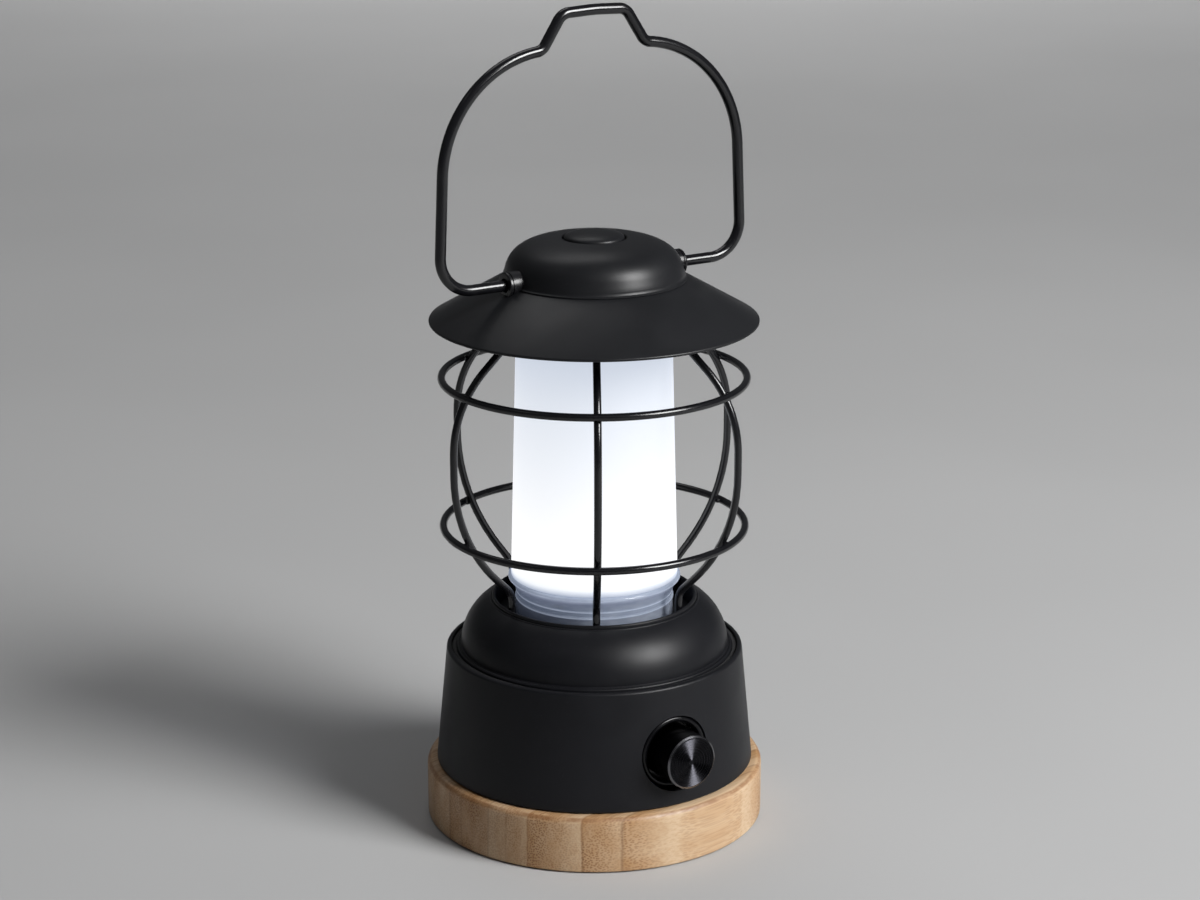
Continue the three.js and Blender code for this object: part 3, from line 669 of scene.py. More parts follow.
def turned(name: str, profile: Profile, sides: int = 128, axis: Axis = Axis.UP,
           centre: Place = (0.0, 0.0, 0.0)) -> bpy.types.Object:
    """Turns a closed profile about an axis, as on a lathe.

    Args:
        name: the piece's name.
        profile: (radius, height) points; the last one is joined to the first.
        sides: how many flats go round.
        axis: the way that height points.
        centre: where radius 0, height 0 is.

    Returns:
        The closed piece, shaded smooth with its edges kept.
    """
    bpy.ops.mesh.primitive_plane_add(size=MM)
    piece = new_piece(name)
    on_axis = profile[0][0] < MERGE and profile[-1][0] < MERGE
    route = list(profile) if on_axis else [*profile, profile[0]]
    with edit_mode():
        bpy.ops.mesh.select_all(action="SELECT")
        bpy.ops.mesh.merge(type="CENTER")
        bpy.ops.transform.translate(value=(route[0][0], 0.0, route[0][1]))
        for (r0, z0), (r1, z1) in zip(route, route[1:]):
            bpy.ops.mesh.extrude_region_move(TRANSFORM_OT_translate={"value": (r1 - r0, 0.0, z1 - z0)})
        bpy.ops.mesh.select_all(action="SELECT")
        bpy.ops.mesh.remove_doubles(threshold=MERGE)
        bpy.ops.mesh.spin(steps=sides, angle=FULL_TURN, center=(0, 0, 0), axis=(0, 0, 1))
        bpy.ops.mesh.select_all(action="SELECT")
        bpy.ops.mesh.remove_doubles(threshold=MERGE)
        bpy.ops.mesh.delete_loose(use_verts=True, use_edges=True, use_faces=False)
        bpy.ops.mesh.select_all(action="SELECT")
        bpy.ops.mesh.normals_make_consistent(inside=False)
    piece.rotation_euler = axis.value
    piece.location = centre
    return settle(piece)


@dataclass(frozen=True)
class BentWire:
    """A round wire in the XZ plane: straight runs between corners, each corner bent to a radius."""

    name: str
    corners: tuple[tuple[float, float], ...]
    bends: tuple[float, ...]
    radius: float
    sides: int = 14
    degrees_per_step: float = 4.0
    shortest_run: float = 0.01 * MM
    smooth_under: float = 50.0

    def _bend(self, i: int) -> tuple[Vector, Vector, Vector, float]:
        """Works out one bend.

        Args:
            i: the corner's number.

        Returns:
            Its start, its end, its centre, and its turn about +Y, in radians.
        """
        before, corner, after = (Vector((x, 0.0, z)) for x, z in self.corners[i - 1:i + 2])
        back, ahead = (before - corner).normalized(), (after - corner).normalized()
        turn = math.pi - back.angle(ahead)
        inset = self.bends[i - 1] * math.tan(turn / 2)
        start, end = corner + back * inset, corner + ahead * inset
        centre = corner + (back + ahead).normalized() * (self.bends[i - 1] / math.cos(turn / 2))
        side = (start - centre).cross(end - centre).y
        return start, end, centre, math.copysign(turn, side)

    def build(self) -> bpy.types.Object:
        """Bends the wire: a disc is extruded along each run and spun round each bend.

        Returns:
            The closed wire.
        """
        here = Vector((self.corners[0][0], 0.0, self.corners[0][1]))
        bends = [self._bend(i) for i in range(1, len(self.corners) - 1)]
        first = bends[0][0] - here
        bpy.ops.mesh.primitive_circle_add(vertices=self.sides, radius=self.radius, fill_type="NGON",
                                          location=here, rotation=(0.0, math.atan2(first.x, first.z), 0.0))
        piece = new_piece(self.name)
        last = Vector((self.corners[-1][0], 0.0, self.corners[-1][1]))
        with edit_mode():
            bpy.ops.mesh.select_all(action="SELECT")
            for start, end, centre, turn in bends:
                if (start - here).length > self.shortest_run:
                    bpy.ops.mesh.extrude_region_move(TRANSFORM_OT_translate={"value": start - here})
                steps = max(2, math.ceil(math.degrees(abs(turn)) / self.degrees_per_step))
                bpy.ops.mesh.spin(steps=steps, angle=-turn, center=centre, axis=(0, 1, 0))
                here = end
            bpy.ops.mesh.extrude_region_move(TRANSFORM_OT_translate={"value": last - here})
            bpy.ops.mesh.select_all(action="SELECT")
            bpy.ops.mesh.remove_doubles(threshold=MERGE)
            bpy.ops.mesh.normals_make_consistent(inside=False)
        return settle(piece, self.smooth_under)


def rounded_block(name: str, low: Place, high: Place, bevel: float,
                  segments: int = 3) -> bpy.types.Object:
    """A moulded block between two corners, its edges rounded with a bevel.

    Args:
        name: the piece's name.
        low: its lowest corner.
        high: its highest corner.
        bevel: the radius of its edges.
        segments: flats across each rounded edge.

    Returns:
        The block.
    """
    middle = [(a + b) / 2 for a, b in zip(low, high)]
    bpy.ops.mesh.primitive_cube_add(size=1.0, location=middle, scale=[b - a for a, b in zip(low, high)])
    piece = new_piece(name)
    bpy.ops.object.transform_apply(location=True, rotation=True, scale=True)
    with edit_mode():
        bpy.ops.mesh.select_all(action="SELECT")
        bpy.ops.mesh.bevel(offset=bevel, segments=segments, affect="EDGES")
    return settle(piece)


def rod(name: str, radius: float, low: Place, high: Place, sides: int = 48) -> bpy.types.Object:
    """A round bar between two points, used as a pin or a drill.

    Args:
        name: the piece's name.
        radius: its radius.
        low: one end.
        high: the other end.
        sides: how many flats go round.

    Returns:
        The bar.
    """
    start, end = Vector(low), Vector(high)
    way = end - start
    bpy.ops.mesh.primitive_cylinder_add(vertices=sides, radius=radius, depth=way.length,
                                        location=(start + end) / 2,
                                        rotation=way.to_track_quat("Z", "Y").to_euler())
    return settle(new_piece(name))


def cut(piece: bpy.types.Object, *tools: bpy.types.Object) -> bpy.types.Object:
    """Cuts tools out of a piece, throws the tools away and gives back the piece."""
    for tool in tools:
        pick(piece)
        modifier = piece.modifiers.new("cut", "BOOLEAN")
        modifier.operation = "DIFFERENCE"
        modifier.solver = "EXACT"
        modifier.object = tool
        bpy.ops.object.modifier_apply(modifier=modifier.name)
        bpy.data.objects.remove(tool)
    return settle(piece)


def joined(piece: bpy.types.Object, *others: bpy.types.Object) -> bpy.types.Object:
    """Joins other pieces into the first one, as welding does."""
    pick(piece, *others)
    bpy.ops.object.join()
    return piece


def copied(piece: bpy.types.Object, name: str, turn_degrees: float) -> bpy.types.Object:
    """Copies a piece with its own mesh, turned about the lantern's axis.

    Args:
        piece: the pattern.
        name: the copy's name.
        turn_degrees: how far it is turned about Z.

    Returns:
        The copy.
    """
    pick(piece)
    bpy.ops.object.duplicate(linked=False)
    copy = new_piece(name)
    copy.rotation_euler = (0.0, 0.0, math.radians(turn_degrees))
    pick(copy)
    bpy.ops.object.transform_apply(location=True, rotation=True, scale=True)
    return copy


Kept = tuple[bpy.types.Object, Body, str, tuple[str, ...]]


@dataclass
class Assembly(ABC):
    """A sub-assembly: it builds its pieces, then dresses them and hangs them on their bodies."""

    pieces: list[Kept] = field(default_factory=list, init=False)

    def keep(self, piece: bpy.types.Object, slot: str, *nodes: str, body: Body = Body.ROOT) -> None:
        """Notes a finished piece, its record slot, the CAD nodes it stands for and its body."""
        self.pieces.append((piece, body, slot, nodes))

    @abstractmethod
    def build(self) -> None:
        """Builds the meshes."""

    def dress(self, rack: FinishRack) -> None:
        """Gives each piece its finish from the rack, its body and the nodes it stands for."""
        for piece, body, slot, nodes in self.pieces:
            rack.dress(piece, slot)
            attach(piece, body.value)
            if nodes:
                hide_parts(*nodes)
            log.info("%s: %d faces, %s, on %s", piece.name, len(piece.data.polygons), slot, body.value)


# ---------------------------------------------------------------- sub-assemblies


@dataclass
class BambooFoot(Assembly):
    """The bamboo ring, the plate and the pad under it, and the screws that hold them."""

    radius: float = FOOT_RADIUS
    bore: float = 53.4 * MM
    bottom: float = 0.4 * MM
    top: float = FOOT_TOP
    top_round: float = 2.4 * MM
    bottom_round: float = 0.8 * MM
    bore_chamfer: float = 0.6 * MM
    rebate_radius: float = 57.4 * MM
    rebate_top: float = 4 * MM
    plate_radius: float = 57 * MM
    plate_low: float = 1.3 * MM
    plate_high: float = 3.7 * MM
    pad_radius: float = 40 * MM
    pad_high: float = 1.0 * MM
    pad_ridges: int = 6
    first_groove: float = 6 * MM
    screw_circle: float = 47.5 * MM
    screw_head: float = 2.7 * MM
    screw_angles: tuple[float, ...] = (90.0, 210.0, 330.0)

    def build(self) -> None:
        """Builds the ring, the pad, the plate and the screws."""
        self.keep(self.ring(), "bamboo", "bamboo_base")
        self.keep(self.pad(), "rubber", "foot_pad")
        self.keep(self.plate(), "black_housing", "base_plate")
        pattern = self.screw()
        for i, angle in enumerate(self.screw_angles, start=1):
            self.keep(copied(pattern, f"screw_{i}", angle), "plated_steel", f"base_screw_{i}")
        bpy.data.objects.remove(pattern)

    def ring(self) -> bpy.types.Object:
        """Turns the bamboo ring with its rounded top edge and eased bottom edge."""
        low, high, ease = self.bottom_round, self.top_round, self.bore_chamfer
        return turned("bamboo_ring", [
            (self.bore, self.rebate_top), (self.rebate_radius, self.rebate_top),
            (self.rebate_radius, self.bottom),
            *arc((self.radius - low, self.bottom + low), (low, low), -90, 0, 5),
            (self.radius, (self.bottom + self.top) / 2),
            *arc((self.radius - high, self.top - high), (high, high), 0, 90, 9),
            (self.bore + ease, self.top), (self.bore, self.top - ease)], sides=160)

    def pad(self) -> bpy.types.Object:
        """Turns the foot pad, with a wear tread of round ridges under it."""
        pitch = (self.pad_radius - self.first_groove) / self.pad_ridges
        depth, floor_half, mouth_half = 0.4 * MM, 0.5 * MM, 0.9 * MM
        tread: Profile = [(0.0, 0.0)]
        for i in range(self.pad_ridges):
            groove = self.first_groove + pitch * i
            tread += [(groove - mouth_half, 0.0), (groove - floor_half, depth), (groove + floor_half, depth),
                      (groove + mouth_half, 0.0)]
        edge = arc((self.pad_radius - depth, depth), (depth, depth), -90, 0, 4)
        return turned("foot_pad_tread", [*tread, *edge, (self.pad_radius, self.pad_high),
                                         (0.0, self.pad_high)], 96)

    def plate(self) -> bpy.types.Object:
        """Turns the base plate and sinks its screw holes."""
        chamfer = 0.4 * MM
        plate = turned("base_disc", [
            (0.0, self.plate_low), (self.plate_radius - chamfer, self.plate_low),
            (self.plate_radius, self.plate_low + chamfer), (self.plate_radius, self.plate_high),
            (0.0, self.plate_high)], 96)
        holes = []
        drills = ((3.1 * MM, self.plate_low + 1.2 * MM), (1.7 * MM, self.plate_high + MM))
        for angle in map(math.radians, self.screw_angles):
            x, y = self.screw_circle * math.cos(angle), self.screw_circle * math.sin(angle)
            holes += [rod("hole", radius, (x, y, self.plate_low - MM), (x, y, end))
                      for radius, end in drills]
        return cut(plate, *holes)

    def screw(self) -> bpy.types.Object:
        """Turns one screw on the X axis and cuts its cross recess."""
        low, high, tip = self.plate_low, 2.2 * MM, 13 * MM
        head, shank, point = self.screw_head, 1.3 * MM, 0.4 * MM
        screw = turned("screw", [
            (0.0, low), (head * 0.6, low), (head * 0.9, low + 0.25 * MM), (head, low + 0.6 * MM),
            (head, high), (shank, high), (shank, tip - MM), (point, tip), (0.0, tip)],
            32, centre=(self.screw_circle, 0.0, 0.0))
        middle, long_half, short_half, depth = self.screw_circle, 1.5 * MM, 0.28 * MM, 0.6 * MM
        slots = [rounded_block("slot", (middle - a, -b, low - MM), (middle + a, b, low + depth),
                               0.05 * MM, 1)
                 for a, b in ((long_half, short_half), (short_half, long_half))]
        return cut(screw, *slots)


@dataclass
class Housing(Assembly):
    """The black body: a slightly tapered lower shell, a seam ring and a domed upper shell."""

    foot_radius: float = 59.3 * MM
    foot: float = 21.8 * MM
    shoulder_radius: float = 55.2 * MM
    shoulder: float = 65 * MM
    top: float = 66.2 * MM
    wall: float = 2.1 * MM
    skirt: tuple[float, float] = (51 * MM, 53 * MM)
    skirt_low: float = 6.5 * MM
    ledge: float = 46 * MM
    seat: float = 64.9 * MM
    gap: float = 0.3 * MM
    seam: tuple[float, float] = (51.7 * MM, 53 * MM)
    seam_height: float = 0.25 * MM
    lip_inner: float = 53.3 * MM
    knob_height: float = KNOB_HEIGHT
    knob_hole: float = 13.9 * MM
    port_half: float = 13.3 * MM
    port_span: tuple[float, float] = (26.7 * MM, 45.6 * MM)
    dome_centre: float = 30.6 * MM
    dome_width: float = 19.2 * MM
    dome_foot: float = 66.5 * MM
    dome_height: float = 19.7 * MM
    bead: float = 51.5 * MM
    neck_outer: float = 38.9 * MM
    neck_inner: float = 36.8 * MM
    neck_top: float = 85.8 * MM
    well: float = 74.6 * MM
    flange_inner: float = 34.5 * MM
    flange_top: float = 76 * MM

    def build(self) -> None:
        """Builds the lower shell, the seam ring and the upper shell."""
        self.keep(self.lower_shell(), "black_housing", "lower_housing")
        self.keep(self.seam_ring(), "rubber", "seam_gasket")
        self.keep(self.upper_shell(), "black_housing", "upper_housing")

    def lower_shell(self) -> bpy.types.Object:
        """Turns the lower shell and cuts the knob's round hole and the port's square one."""
        rise, ease = self.top - self.shoulder, 0.2 * MM
        chamfer, rounding = 0.5 * MM, 1.2 * MM
        inside, under = self.skirt
        shell = turned("housing_lower", [
            (under, self.foot), (self.foot_radius - chamfer, self.foot),
            (self.foot_radius, self.foot + chamfer),
            *arc((self.shoulder_radius - rounding, self.shoulder), (rounding, rise), 5, 90, 7),
            (self.lip_inner + ease, self.top), (self.lip_inner, self.top - ease),
            (self.lip_inner, self.seat), (self.ledge, self.seat), (self.ledge, self.seat - self.wall),
            (self.shoulder_radius - self.wall, self.seat - self.wall),
            (self.foot_radius - self.wall, self.foot + self.wall), (inside, self.foot + self.wall),
            (inside, self.skirt_low), (under, self.skirt_low)], sides=160)
        near, far = 45 * MM, 75 * MM
        drill = rod("drill", self.knob_hole, (0, -far, self.knob_height), (0, -near, self.knob_height), 96)
        low, high = self.port_span
        mill = rounded_block("mill", (-self.port_half, near, low), (self.port_half, far, high), 1.6 * MM, 4)
        return cut(shell, drill, mill)

    def seam_ring(self) -> bpy.types.Object:
        """Turns the thin soft ring that shows as a line between the shells."""
        (inner, outer), low, chamfer = self.seam, self.seat + self.gap, 0.2 * MM
        top = low + self.seam_height
        return turned("seam_ring", [(inner, low), (outer, low), (outer, top - 0.75 * chamfer),
                                    (outer - chamfer, top), (inner, top)], 128)

    def upper_shell(self) -> bpy.types.Object:
        """Turns the dome, with the bead at its foot and the rounded neck lip round the well."""
        seat = self.seat + self.gap
        thickness = 1.8 * MM
        outer = (self.dome_width, self.dome_height)
        inner = (self.dome_width - thickness, self.dome_height - thickness)
        centre = (self.dome_centre, self.dome_foot)
        foot_round = 0.75 * MM
        ridge_half = 0.65 * MM
        ridge_middle = self.neck_inner + ridge_half
        bead_round = 0.55 * MM
        bead_middle = (self.neck_outer - 0.4 * MM, self.neck_top - 1.75 * MM)
        well_wall = self.neck_inner + 1.6 * MM
        return turned("housing_upper", [
            (self.bead, seat),
            *arc((self.bead - foot_round, seat + 0.6 * MM), (foot_round, foot_round), 0, 125, 9),
            *arc(centre, outer, 1, 64, 28), *arc(bead_middle, (bead_round, bead_round), 20, 110, 6),
            (ridge_middle + ridge_half, bead_middle[1] + 0.2 * MM),
            *arc((ridge_middle, self.neck_top - ridge_half), (ridge_half, ridge_half), 0, 180, 12),
            (self.neck_inner, self.flange_top), (self.flange_inner, self.flange_top),
            (self.flange_inner, self.well), (well_wall, self.well),
            (well_wall, self.neck_top - 4 * MM), *arc(centre, inner, 60, 5, 12),
            (self.bead - 2.9 * MM, seat)], sides=160)


@dataclass
class LightHead(Assembly):
    """The clear stepped collar and the opal diffuser on it."""

    collar_low: float = COLLAR_LOW
    collar_top: float = COLLAR_TOP
    collar_foot: float = 29.2 * MM
    waist: float = 28.8 * MM
    widest: float = 32 * MM
    collar_wall: float = 1.9 * MM
    opal_low: float = OPAL_LOW
    opal_foot: float = 30.9 * MM
    opal_shoulder: float = 28.4 * MM
    opal_top: float = OPAL_TOP
    opal_round: float = 3 * MM
    opal_wall: float = 1.6 * MM

    def build(self) -> None:
        """Builds the collar and the diffuser."""
        self.keep(self.collar(), "clear_collar", "clear_collar")
        self.keep(self.diffuser(), "opal_diffuser", "diffuser")

    def collar(self) -> bpy.types.Object:
        """Turns the collar: a foot, a step, a waist, and a swelling up to its widest edge."""
        foot, waist, wide, top = self.collar_foot, self.waist, self.widest, self.collar_top
        rim = 0.7 * MM
        return turned("collar_clear", [
            (foot - self.collar_wall, self.collar_low), (foot, self.collar_low), (foot, top - 9.0 * MM),
            (foot + 0.25 * MM, top - 8.7 * MM), (foot + 0.1 * MM, top - 8.3 * MM),
            (waist, top - 8.0 * MM), (waist, top - 6.7 * MM), (waist + 0.35 * MM, top - 6.4 * MM),
            (waist + 0.3 * MM, top - 5.8 * MM), (waist + 0.9 * MM, top - 4.3 * MM),
            (waist + 1.8 * MM, top - 2.7 * MM), (wide - 0.6 * MM, top - 1.5 * MM),
            *arc((wide - rim, top - 0.9 * MM), (rim, rim), -50, 60, 6),
            (wide - 1.1 * MM, top), (wide - 3 * MM, top), (wide - 3 * MM, top - 1.5 * MM),
            (waist - self.collar_wall, top - 5.5 * MM)], sides=128)

    def diffuser(self) -> bpy.types.Object:
        """Turns the diffuser, slightly narrower at its rounded top."""
        corner = (self.opal_shoulder - self.opal_round, self.opal_top - self.opal_round)
        tighter = 0.6 * MM
        inside, shift = self.opal_round - tighter, self.opal_wall - tighter
        return turned("diffuser_opal", [
            (self.opal_foot - self.opal_wall, self.opal_low), (self.opal_foot, self.opal_low),
            *arc(corner, (self.opal_round, self.opal_round), 0, 90, 8), (0.0, self.opal_top),
            (0.0, self.opal_top - self.opal_wall),
            *arc((corner[0] - shift, corner[1] - shift), (inside, inside), 90, 0, 5)], sides=128)


@dataclass
class WireCage(Assembly):
    """Six bowed ribs, the two rings welded round them, and the plate that they hang from."""

    ribs: int = 6
    rib_radius: float = 1.4 * MM
    ring_wire: float = 1.42 * MM
    ring_radius: float = 55.7 * MM
    ring_heights: tuple[float, float] = (169 * MM, 112.7 * MM)
    foot: tuple[float, float] = (35.2 * MM, 78.7 * MM)
    head: tuple[float, float] = (34 * MM, 194.1 * MM)
    rib_corners: tuple[tuple[float, float], ...] = (
        (34 * MM, 188.0 * MM), (58.7 * MM, 165.0 * MM), (58.7 * MM, 114.8 * MM), (35.2 * MM, 91.3 * MM))
    rib_bends: tuple[float, ...] = (5 * MM, 40 * MM, 60 * MM, 8 * MM)
    weld: float = 1.15 * MM
    plate_radius: float = 44 * MM
    plate_low: float = 194.4 * MM
    plate_thickness: float = 1.7 * MM
    plate_groove: tuple[float, float] = (22 * MM, 25 * MM)
    bolt_hole: float = BOLT_HOLE

    def build(self) -> None:
        """Builds the ribs, the rings with their welds, and the top plate."""
        corners = (self.head, *self.rib_corners, self.foot)
        pattern = BentWire("rib", corners, self.rib_bends, self.rib_radius).build()
        for i in range(self.ribs):
            rib = copied(pattern, f"rib_{i + 1}", 360.0 * i / self.ribs)
            self.keep(rib, "cage_wire", f"cage_rib_{i + 1}")
        bpy.data.objects.remove(pattern)
        for label, height in zip(("upper", "lower"), self.ring_heights):
            self.keep(self.ring(f"ring_{label}", height), "cage_wire", f"cage_ring_{label}")
        self.keep(self.top_plate(), "black_roof", "cage_top_plate")

    def ring(self, name: str, height: float) -> bpy.types.Object:
        """Turns one ring and lays a weld bead on it at each rib.

        Args:
            name: the ring's name.
            height: the height of its middle.

        Returns:
            The ring with its beads.
        """
        wire = arc((self.ring_radius, height), (self.ring_wire, self.ring_wire), 0, 360, 14)[:-1]
        ring = turned(name, wire, sides=160)
        beads = []
        reach = self.ring_radius - self.ring_wire * 0.95
        for i in range(self.ribs):
            angle = FULL_TURN * i / self.ribs
            bpy.ops.mesh.primitive_uv_sphere_add(
                segments=16, ring_count=10, radius=self.weld,
                location=(reach * math.cos(angle), reach * math.sin(angle), height),
                rotation=(0.0, 0.0, angle), scale=(0.75, 1.75, 1.0))
            beads.append(settle(new_piece("bead"), 60.0))
        return joined(ring, *beads)

    def top_plate(self) -> bpy.types.Object:
        """Turns the pressed disc that the ribs are welded to, with rolled edges and a stiffening groove."""
        low, high = self.plate_low, self.plate_low + self.plate_thickness
        edge, groove, slope = self.plate_thickness / 2, low + 0.5 * MM, 0.6 * MM
        start, end = self.plate_groove
        return turned("top_disc", [
            (self.bolt_hole, low), (start, low), (start + slope, groove), (end - slope, groove), (end, low),
            *arc((self.plate_radius - edge, low + edge), (edge, edge), -90, 90, 8),
            (self.bolt_hole, high)], 128)


@dataclass
class Roof(Assembly):
    """The rain shade, the crown on it, the boss on top and the two lugs for the bail."""

    rim_radius: float = 60 * MM
    rim: float = 189.9 * MM
    rim_height: float = 1.1 * MM
    junction_radius: float = 33 * MM
    junction: float = 206 * MM
    wall: float = 1.1 * MM
    bolt_hole: float = BOLT_HOLE
    crown_radius: float = 32.9 * MM
    crown_low: float = 206.3 * MM
    crown_foot: float = 200.5 * MM
    crown_rise: float = 20.4 * MM
    fullness: float = 3.5
    crown_wall: float = 1.2 * MM
    hem_flare: float = 0.9 * MM
    hem_rise: float = 1.8 * MM
    recess_radius: float = 11.6 * MM
    recess: float = 219.6 * MM
    boss_radius: float = 11.0 * MM
    boss_low: float = 219.9 * MM
    boss_top: float = 223.2 * MM
    lug_radius: float = 4.8 * MM
    lug_inner: float = 31 * MM
    lug_outer: float = 37.2 * MM
    lug_bore: float = 2.35 * MM
    lug_bore_end: float = 34.8 * MM
    pivot: float = BAIL_PIVOT

    def build(self) -> None:
        """Builds the shade, the crown, its boss and the lugs."""
        self.keep(self.shade(), "black_roof", "shade")
        self.keep(self.crown(), "black_roof", "crown")
        self.keep(self.boss(), "black_roof", "crown_boss")
        for name, axis in (("bail_lug_right", Axis.RIGHT), ("bail_lug_left", Axis.LEFT)):
            self.keep(self.lug(name.replace("bail_", ""), axis), "bail_lugs", name)

    def shade(self) -> bpy.types.Object:
        """Turns the shade: a thin cone with a rolled rim and a small fillet under the crown."""
        slope = (self.junction - self.rim) / (self.rim_radius - self.junction_radius)
        under = self.wall * math.sqrt(1 + slope * slope)
        roll = 0.62 * MM
        start = math.degrees(math.atan2(1.0, slope))
        rim_centre = (self.rim_radius - roll, self.rim + roll)
        joint, top, ceiling = self.junction_radius, self.junction, self.junction - self.wall
        return turned("shade_cone", [
            (self.bolt_hole, ceiling), (joint - 1.5 * MM, ceiling), (joint + 0.5 * MM, ceiling - 0.5 * MM),
            (self.rim_radius - 1.5 * MM, self.rim + self.rim_height - under + 1.5 * MM * slope),
            *arc(rim_centre, (roll, roll), -120, start, 10),
            (joint + 3 * MM, top - 2.1 * MM * slope * 1.05), (joint + 1.2 * MM, top - 0.55 * MM),
            (joint + 0.2 * MM, top - 0.05 * MM), (joint - 0.6 * MM, top), (self.bolt_hole, top)], sides=192)

    def crown_height(self, radius: float) -> float:
        """The crown's outer height at a radius: a full round with a nearly flat top.

        Args:
            radius: the distance from the axis.

        Returns:
            The height.
        """
        across = min(radius / self.crown_radius, 1.0)
        return self.crown_foot + self.crown_rise * (1 - across ** self.fullness) ** (1 / self.fullness)

    def crown(self) -> bpy.types.Object:
        """Turns the crown, with a rolled hem at its foot and the boss's recess on top."""
        shares = (0.985, 0.97, 0.95, 0.925, 0.895, 0.86, 0.82, 0.77, 0.71, 0.64, 0.56, 0.48)
        outer = [(self.crown_radius * s, self.crown_height(self.crown_radius * s)) for s in shares]
        inner = [(r - self.crown_wall * s, z - self.crown_wall) for s, (r, z) in zip(shares, outer)]
        edge = self.recess_radius + 0.5 * MM
        wide, hem = self.crown_radius + self.hem_flare, self.crown_low - 0.35 * MM
        top = self.crown_height(edge)
        return turned("crown_cap", [
            (self.crown_radius - self.crown_wall, hem), (wide, hem), (wide, hem + 0.25 * MM),
            *arc((wide, self.crown_low + self.hem_rise), (self.hem_flare, self.hem_rise), 262, 185, 8),
            *outer, (edge, top),
            (self.recess_radius + 0.1 * MM, top - 0.25 * MM), (self.recess_radius, top - 0.6 * MM),
            (self.recess_radius, self.recess), (self.bolt_hole, self.recess),
            (self.bolt_hole, self.recess - self.crown_wall), *reversed(inner)], sides=160)

    def boss(self) -> bpy.types.Object:
        """Turns the domed boss."""
        rise = 2.6 * MM
        shoulder = self.boss_top - rise
        dome = arc((0.0, shoulder), (self.boss_radius, rise), 6, 90, 18)
        return turned("boss_cap", [(0.0, self.boss_low), (self.boss_radius - 0.4 * MM, self.boss_low),
                                   (self.boss_radius, self.boss_low + 0.4 * MM), *dome], 96)

    def lug(self, name: str, axis: Axis) -> bpy.types.Object:
        """Turns one lug: a washer against the crown, a barrel, a chamfered mouth and the bail's bore."""
        r, out, groove, rounding, chamfer = self.lug_radius, self.lug_outer, 0.35 * MM, 0.45 * MM, 0.3 * MM
        return turned(name, [
            (0.0, self.lug_inner), (r, self.lug_inner), (r, out - 1.5 * MM), (r - groove, out - 1.4 * MM),
            (r - groove, out - 1.1 * MM), (r, out - 1.0 * MM), (r, out - rounding),
            *arc((r - rounding, out - rounding), (rounding, rounding), 0, 90, 4),
            (self.lug_bore + chamfer, out), (self.lug_bore, out - chamfer),
            (self.lug_bore, self.lug_bore_end), (0.0, self.lug_bore_end)], 64, axis, (0.0, 0.0, self.pivot))


@dataclass
class BailHandle(Assembly):
    """The carrying bail: one bent wire with a raised grip."""

    wire: float = 2 * MM
    crest: float = 302.6 * MM
    half: tuple[tuple[float, float], ...] = (
        (35.2 * MM, BAIL_PIVOT), (63.4 * MM, BAIL_PIVOT), (59.9 * MM, 286 * MM), (21.2 * MM, 289.6 * MM),
        (13.1 * MM, 302.1 * MM))
    bends: tuple[float, ...] = (12.5 * MM, 43 * MM, 4.5 * MM, 5.5 * MM)
    crest_bend: float = 60 * MM

    def build(self) -> None:
        """Bends the bail from one lug to the other."""
        other = tuple((-x, z) for x, z in reversed(self.half))
        corners = (*self.half, (0.0, self.crest), *other)
        bends = (*self.bends, self.crest_bend, *reversed(self.bends))
        bail = BentWire("bail_wire", corners, bends, self.wire, sides=20, degrees_per_step=3.0).build()
        self.keep(bail, "bail_wire", "bail", body=Body.BAIL)


